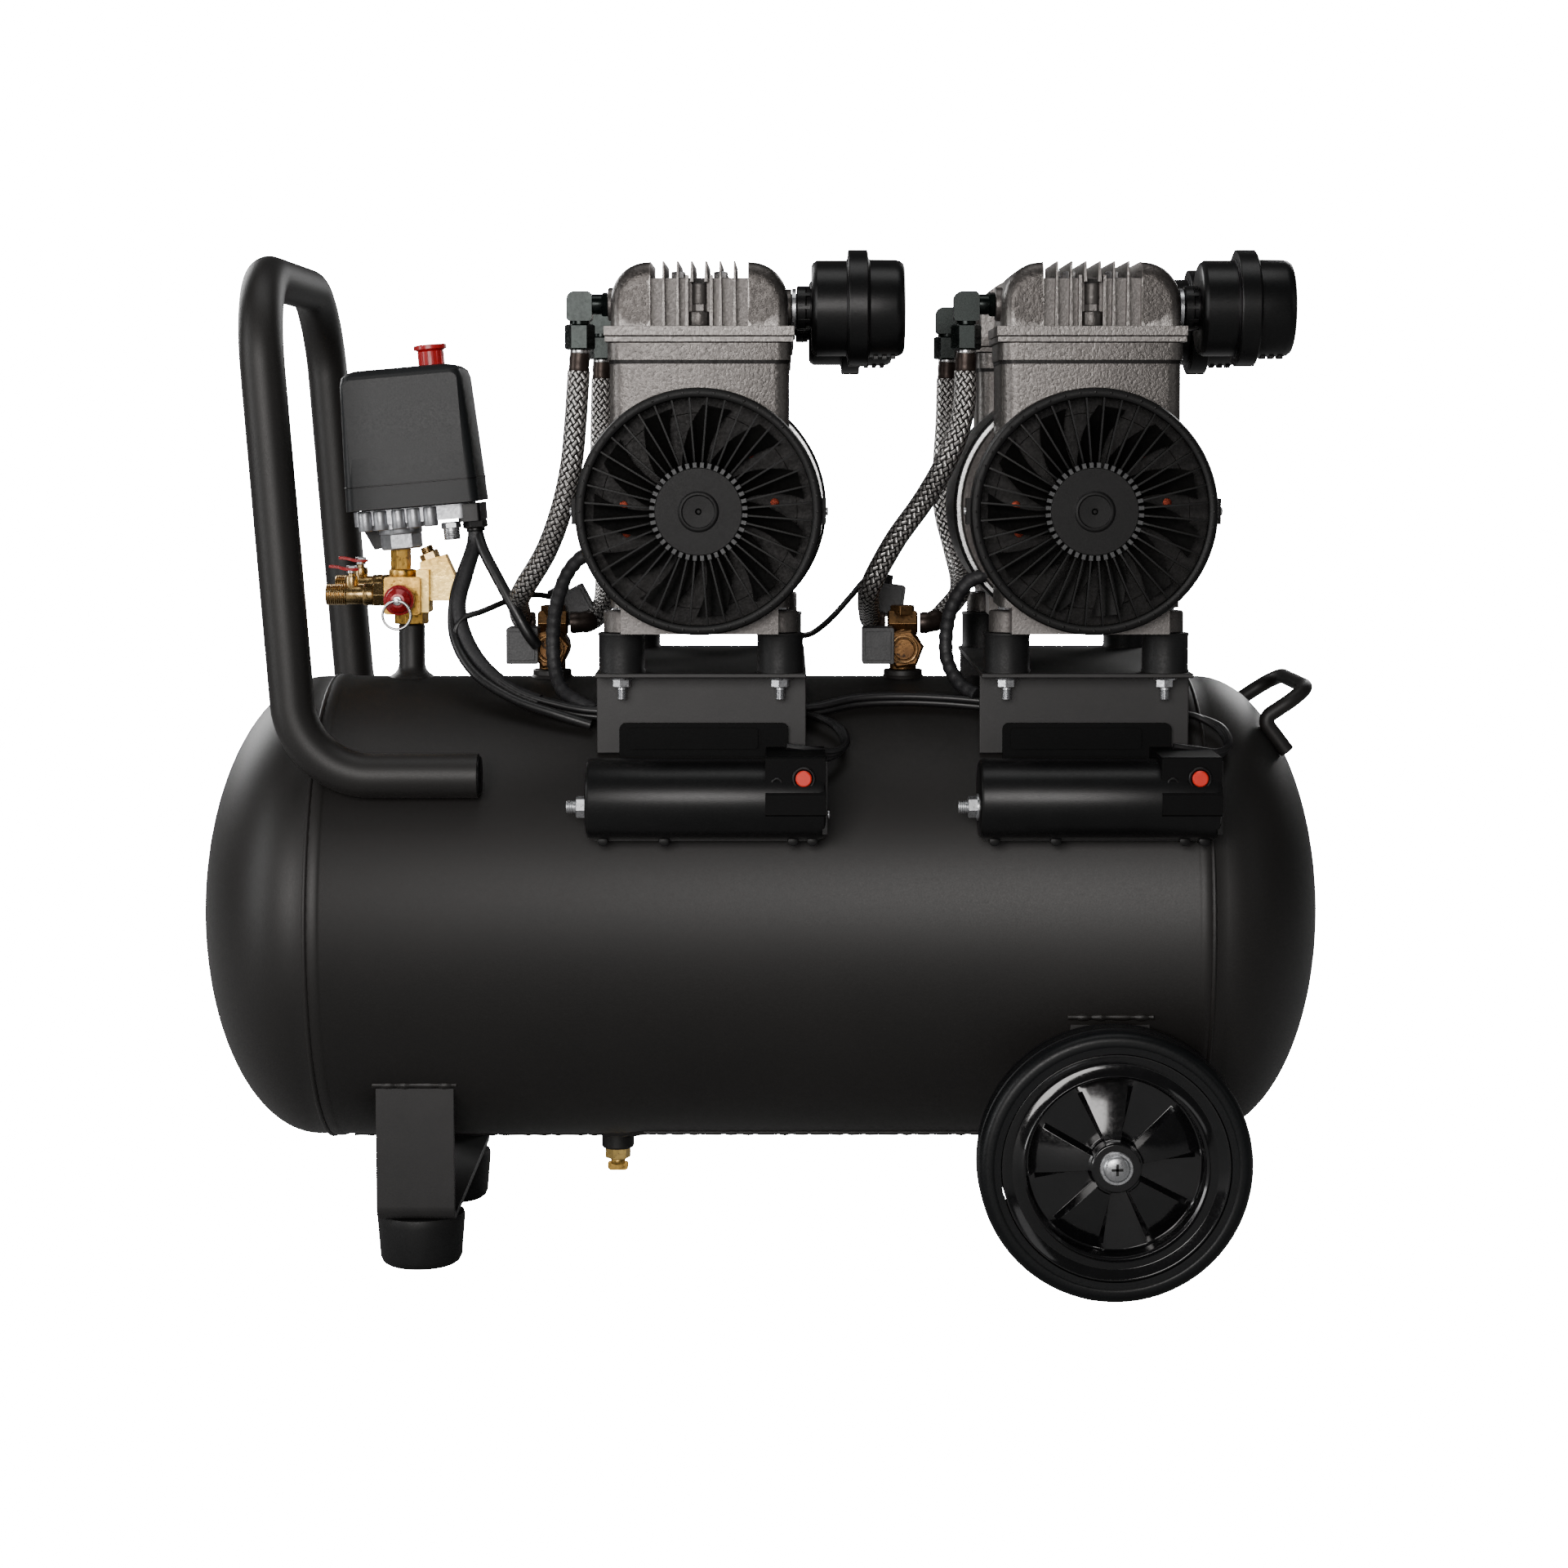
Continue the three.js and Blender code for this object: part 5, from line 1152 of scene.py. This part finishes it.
spigot = [rod("y", 8, (-21.4, -19), (MANIFOLD_X, 0, 427), 40, 0.5)]
piece("manifold", [(BRASS, block, *collar, foot_hex, angle_block, lip, *spigot), (TURNED, *nut, *rear)],
      replaces="outlet_manifold", bevel=0.9, segments=3)
piece("left_tap", [(TURNED, *tap_shapes(0, 429))], replaces="tap_left", bevel=0.25)
for name, y, z in (("left", 0, 429), ("rear", 44, 433)):
    top = z + 14.3
    arm = shifted(lever_shape(top), (0, y, 0))
    nut_shape = [hexagon("z", 6.4, (top + 1.5, top + 5.2), (TAP_X, y, 0), 0.2, 0.5),
                 rod("z", 3.4, (top, top + 2.2), (TAP_X, y, 0), 24)]
    piece(f"lever_{name}", [(RED, arm), (ZINC, *nut_shape)], f"tap_{name}_lever", f"tap_{name}_lever", 0.5, 3)

cap = [(0, -20.3), (6.4, -20.3), (6.4, -30.4), (9.2, -30.6), (10, -31.4), (10, -33.4), (8.9, -34), (8.9, -35),
       (9.9, -35.6), (9.9, -37.4)]
cap += [(8.4, -38), (8.4, -39), (7.6, -40.4), (6, -41.4), (4.6, -42.8), (2.3, -43), (2.3, -34), (0, -34)]
piece("relief_valve", [(RED_CAP, lathe(cap, "y", (MANIFOLD_X, 0, 427), 64))], replaces="safety_valve", bevel=0.2)
pin = [rod("y", 1.8, (-49.8, -37), (MANIFOLD_X, 0, 427), 24, 0.4),
       rod("y", 3.1, (-45.2, -43.2), (MANIFOLD_X, 0, 427), 24, 0.5)]
circle = []
for i in range(73):
    angle = TAU * i / 72
    circle.append((MANIFOLD_X + 9.2 * math.sin(angle), -47.9 + 0.5 * math.sin(angle * 0.5),
                   417.8 + 9.2 * math.cos(angle)))
piece("pull_ring", [(STEEL, *pin, tube(circle, 0.95, 14))], "safety_ring", "safety_ring")

# ---------------------------------------------------------------- pressure switch, leaning on its neck

switch_place = placed((SWITCH_X, 0, SWITCH_FOOT), SWITCH_LEAN)


def on_switch(*shapes):
    return [moved(shape, switch_place) for shape in shapes]


neck = [hexagon("z", 24, (-0.6, 10.5), (0, 0, 0), 0.12, 1.4), rod("z", 14.5, (9.5, 15), sides=64, edge=1.2)]
casting = [extrude(rounded(-27, 50, -28.5, 25, 7, 6), "z", (17, 26.8)),
           extrude(rounded(-24, 20, -25, 22, 9, 6), "z", (13.6, 18))]
for u in (-19, -9, 3, 13, 24):
    casting.append(rod("z", 4.8, (13.4, 26.5), (u, -27.2, 0), 28, 1.0))
stub = [rod("z", 5.4, (5, 14.4), (36, -18, 0), 32, 0.6), hexagon("z", 11.5, (10.6, 15), (36, -18, 0), 0.1)]
stub.append(thread("z", 5.6, (3.2, 10.6), (36, -18, 0), 1.3, 0.4, 32))
gland = [hexagon("z", 14.4, (9.6, 15), (52, -18, 0), 0.2, 1.0), rod("z", 6.2, (7.4, 10), (52, -18, 0), 32, 0.6),
         extrude(rounded(42, 57, -28, 20, 2, 4), "z", (14.4, 26))]
arm = extrude([(-26, 16), (-13, 16), (-13, 4), (-17, 0.4), (-19, 0.4)], "y", (2, 20))
piece("switch_casting",
      [(DIECAST, *on_switch(*neck, *casting)), (ZINC, *on_switch(*stub)), (PLASTIC, *on_switch(*gland, arm))],
      replaces="switch_base", bevel=0.5)


def cover_shell():
    """The cover: a drafted box with rounded edges, closed below, with a shallow step round its foot."""
    levels = [(27.4, 0.0, 0.0), (43.4, 0.6, 0.0), (43.6, 0.6, 0.0), (70, 1.6, 1.0), (100, 2.8, 2.0),
              (110, 3.2, 2.6), (115.2, 4.4, 4.2), (118, 7.4, 7.6), (119.2, 12, 12)]
    points, faces, rings = [], [], []
    for z, side_in, face_in in levels:
        outline = rounded(-30 + side_in, 58 - side_in * 1.2, -40 + face_in, 31 - face_in, 6.5, 6)
        start = len(points)
        points += [(u, v, z) for u, v in outline]
        rings.append(range(start, start + len(outline)))
    n = len(rings[0])
    for a, b in zip(rings, rings[1:]):
        faces += [(a[i], a[(i + 1) % n], b[(i + 1) % n], b[i]) for i in range(n)]
    faces.append(tuple(rings[-1]))
    faces.append(tuple(reversed(rings[0])))
    return points, faces, None


band = extrude(rounded(-29.85, 57.75, -40.35, 31.35, 6.8, 6), "z", (42.6, 43.5))
panel = extrude(rounded(-24.5, 51, 46.5, 112.5, (2, 2, 5, 5), 5), "y", (-40.6, -38))
panel = moved(panel, placed((0, 0, 0), -1.2, "X"))
shell = [(SLATE, *on_switch(cover_shell(), panel)), (PLASTIC, *on_switch(band))]
piece("switch_shell", shell, replaces="switch_cover", bevel=0.3)
knob = [(0, 100), (6.4, 100), (6.4, 119.4), (8.3, 119.6), (8.3, 129), (9.6, 130), (11, 130.4), (11, 132.6),
        (10.4, 133.4), (7.4, 133.4), (6.8, 132.4), (0, 132.2)]
rib = box((8.1, 8.8), (-0.7, 0.7), (120, 129))
ribs = [moved(rib, placed((KNOB_X, 0, 0), 360 * k / 14, "Z")) for k in range(14)]
grip = lathe(knob, "z", (KNOB_X, 0, 0), 56)
piece("switch_knob_cap", [(RED, *on_switch(grip, *ribs))], "switch_knob", "switch_knob", 0.2)

# ---------------------------------------------------------------- floor, light and camera


def stage_material():
    """A grey floor for light and reflections, which the camera sees as white as the backdrop."""
    material = bpy.data.materials.new("pale floor")
    n = Nodes(material)
    n.shader.inputs["Base Color"].default_value = (0.4, 0.4, 0.4, 1)
    n.shader.inputs["Roughness"].default_value = 0.8
    n.shader.inputs["Specular IOR Level"].default_value = 0.1
    rays = n.add("ShaderNodeLightPath")
    n.shader.inputs["Emission Color"].default_value = (1, 1, 1, 1)
    glow = n.math("MULTIPLY", rays, FLOOR_GLOW, "Is Camera Ray")
    n.tree.links.new(glow.outputs[0], n.shader.inputs["Emission Strength"])
    return material


FLOOR_GLOW, BACKDROP, SURROUND = 30, 30, 0.07

floor_mesh = bpy.data.meshes.new("floor")
floor_mesh.from_pydata([(-30, -30, -0.0005), (30, -30, -0.0005), (30, 30, -0.0005), (-30, 30, -0.0005)], [],
                       [(0, 1, 2, 3)])
floor_mesh.materials.append(stage_material())
floor = bpy.data.objects.new("floor", floor_mesh)
bpy.context.scene.collection.objects.link(floor)


def area_light(name, place, target, size, power, colour=(1, 1, 1)):
    light = bpy.data.lights.new(name, "AREA")
    light.shape, light.size, light.size_y = "RECTANGLE", size[0], size[1]
    light.energy, light.color = power, colour
    lamp = bpy.data.objects.new(name, light)
    lamp.location = place
    lamp.rotation_euler = (Vector(target) - Vector(place)).to_track_quat("-Z", "Y").to_euler()
    bpy.context.scene.collection.objects.link(lamp)


area_light("front_key", (-0.55, -2.7, 0.9), (0, 0, 0.32), (1.6, 1.0), 54, (1, 0.972, 0.955))
area_light("left_strip", (-2.3, -0.9, 0.9), (0, 0, 0.4), (0.6, 1.7), 22)
area_light("right_strip", (2.3, -1.3, 1.0), (0, 0, 0.4), (0.6, 1.5), 2)
area_light("top", (0, -0.3, 2.4), (0, 0, 0.4), (1.8, 0.9), 11)
area_light("back_left", (-1.8, 2.0, 1.4), (0, 0, 0.4), (0.9, 1.3), 36)
area_light("back_right", (1.4, 2.3, 1.3), (0, 0, 0.4), (0.9, 1.3), 24)

world = bpy.data.worlds.new("studio")
world.use_nodes = True
tree = world.node_tree
sky = tree.nodes["Background"]
sky.inputs["Color"].default_value = (1, 1, 1, 1)
seen = tree.nodes.new("ShaderNodeLightPath")
level = tree.nodes.new("ShaderNodeMapRange")
level.inputs["To Min"].default_value = SURROUND
level.inputs["To Max"].default_value = BACKDROP
tree.links.new(seen.outputs["Is Camera Ray"], level.inputs["Value"])
tree.links.new(level.outputs["Result"], sky.inputs["Strength"])
bpy.context.scene.world = world

camera_data = bpy.data.cameras.new("camera")
camera_data.sensor_width = 36
camera_data.lens = 68.66
camera_data.shift_x = -0.0016
camera_data.shift_y = -0.1086
camera = bpy.data.objects.new("camera", camera_data)
camera.location = (0.017, -2.0, 0.5314)
camera.rotation_euler = (math.radians(90 - 3.3), 0, 0)
bpy.context.scene.collection.objects.link(camera)
bpy.context.scene.camera = camera
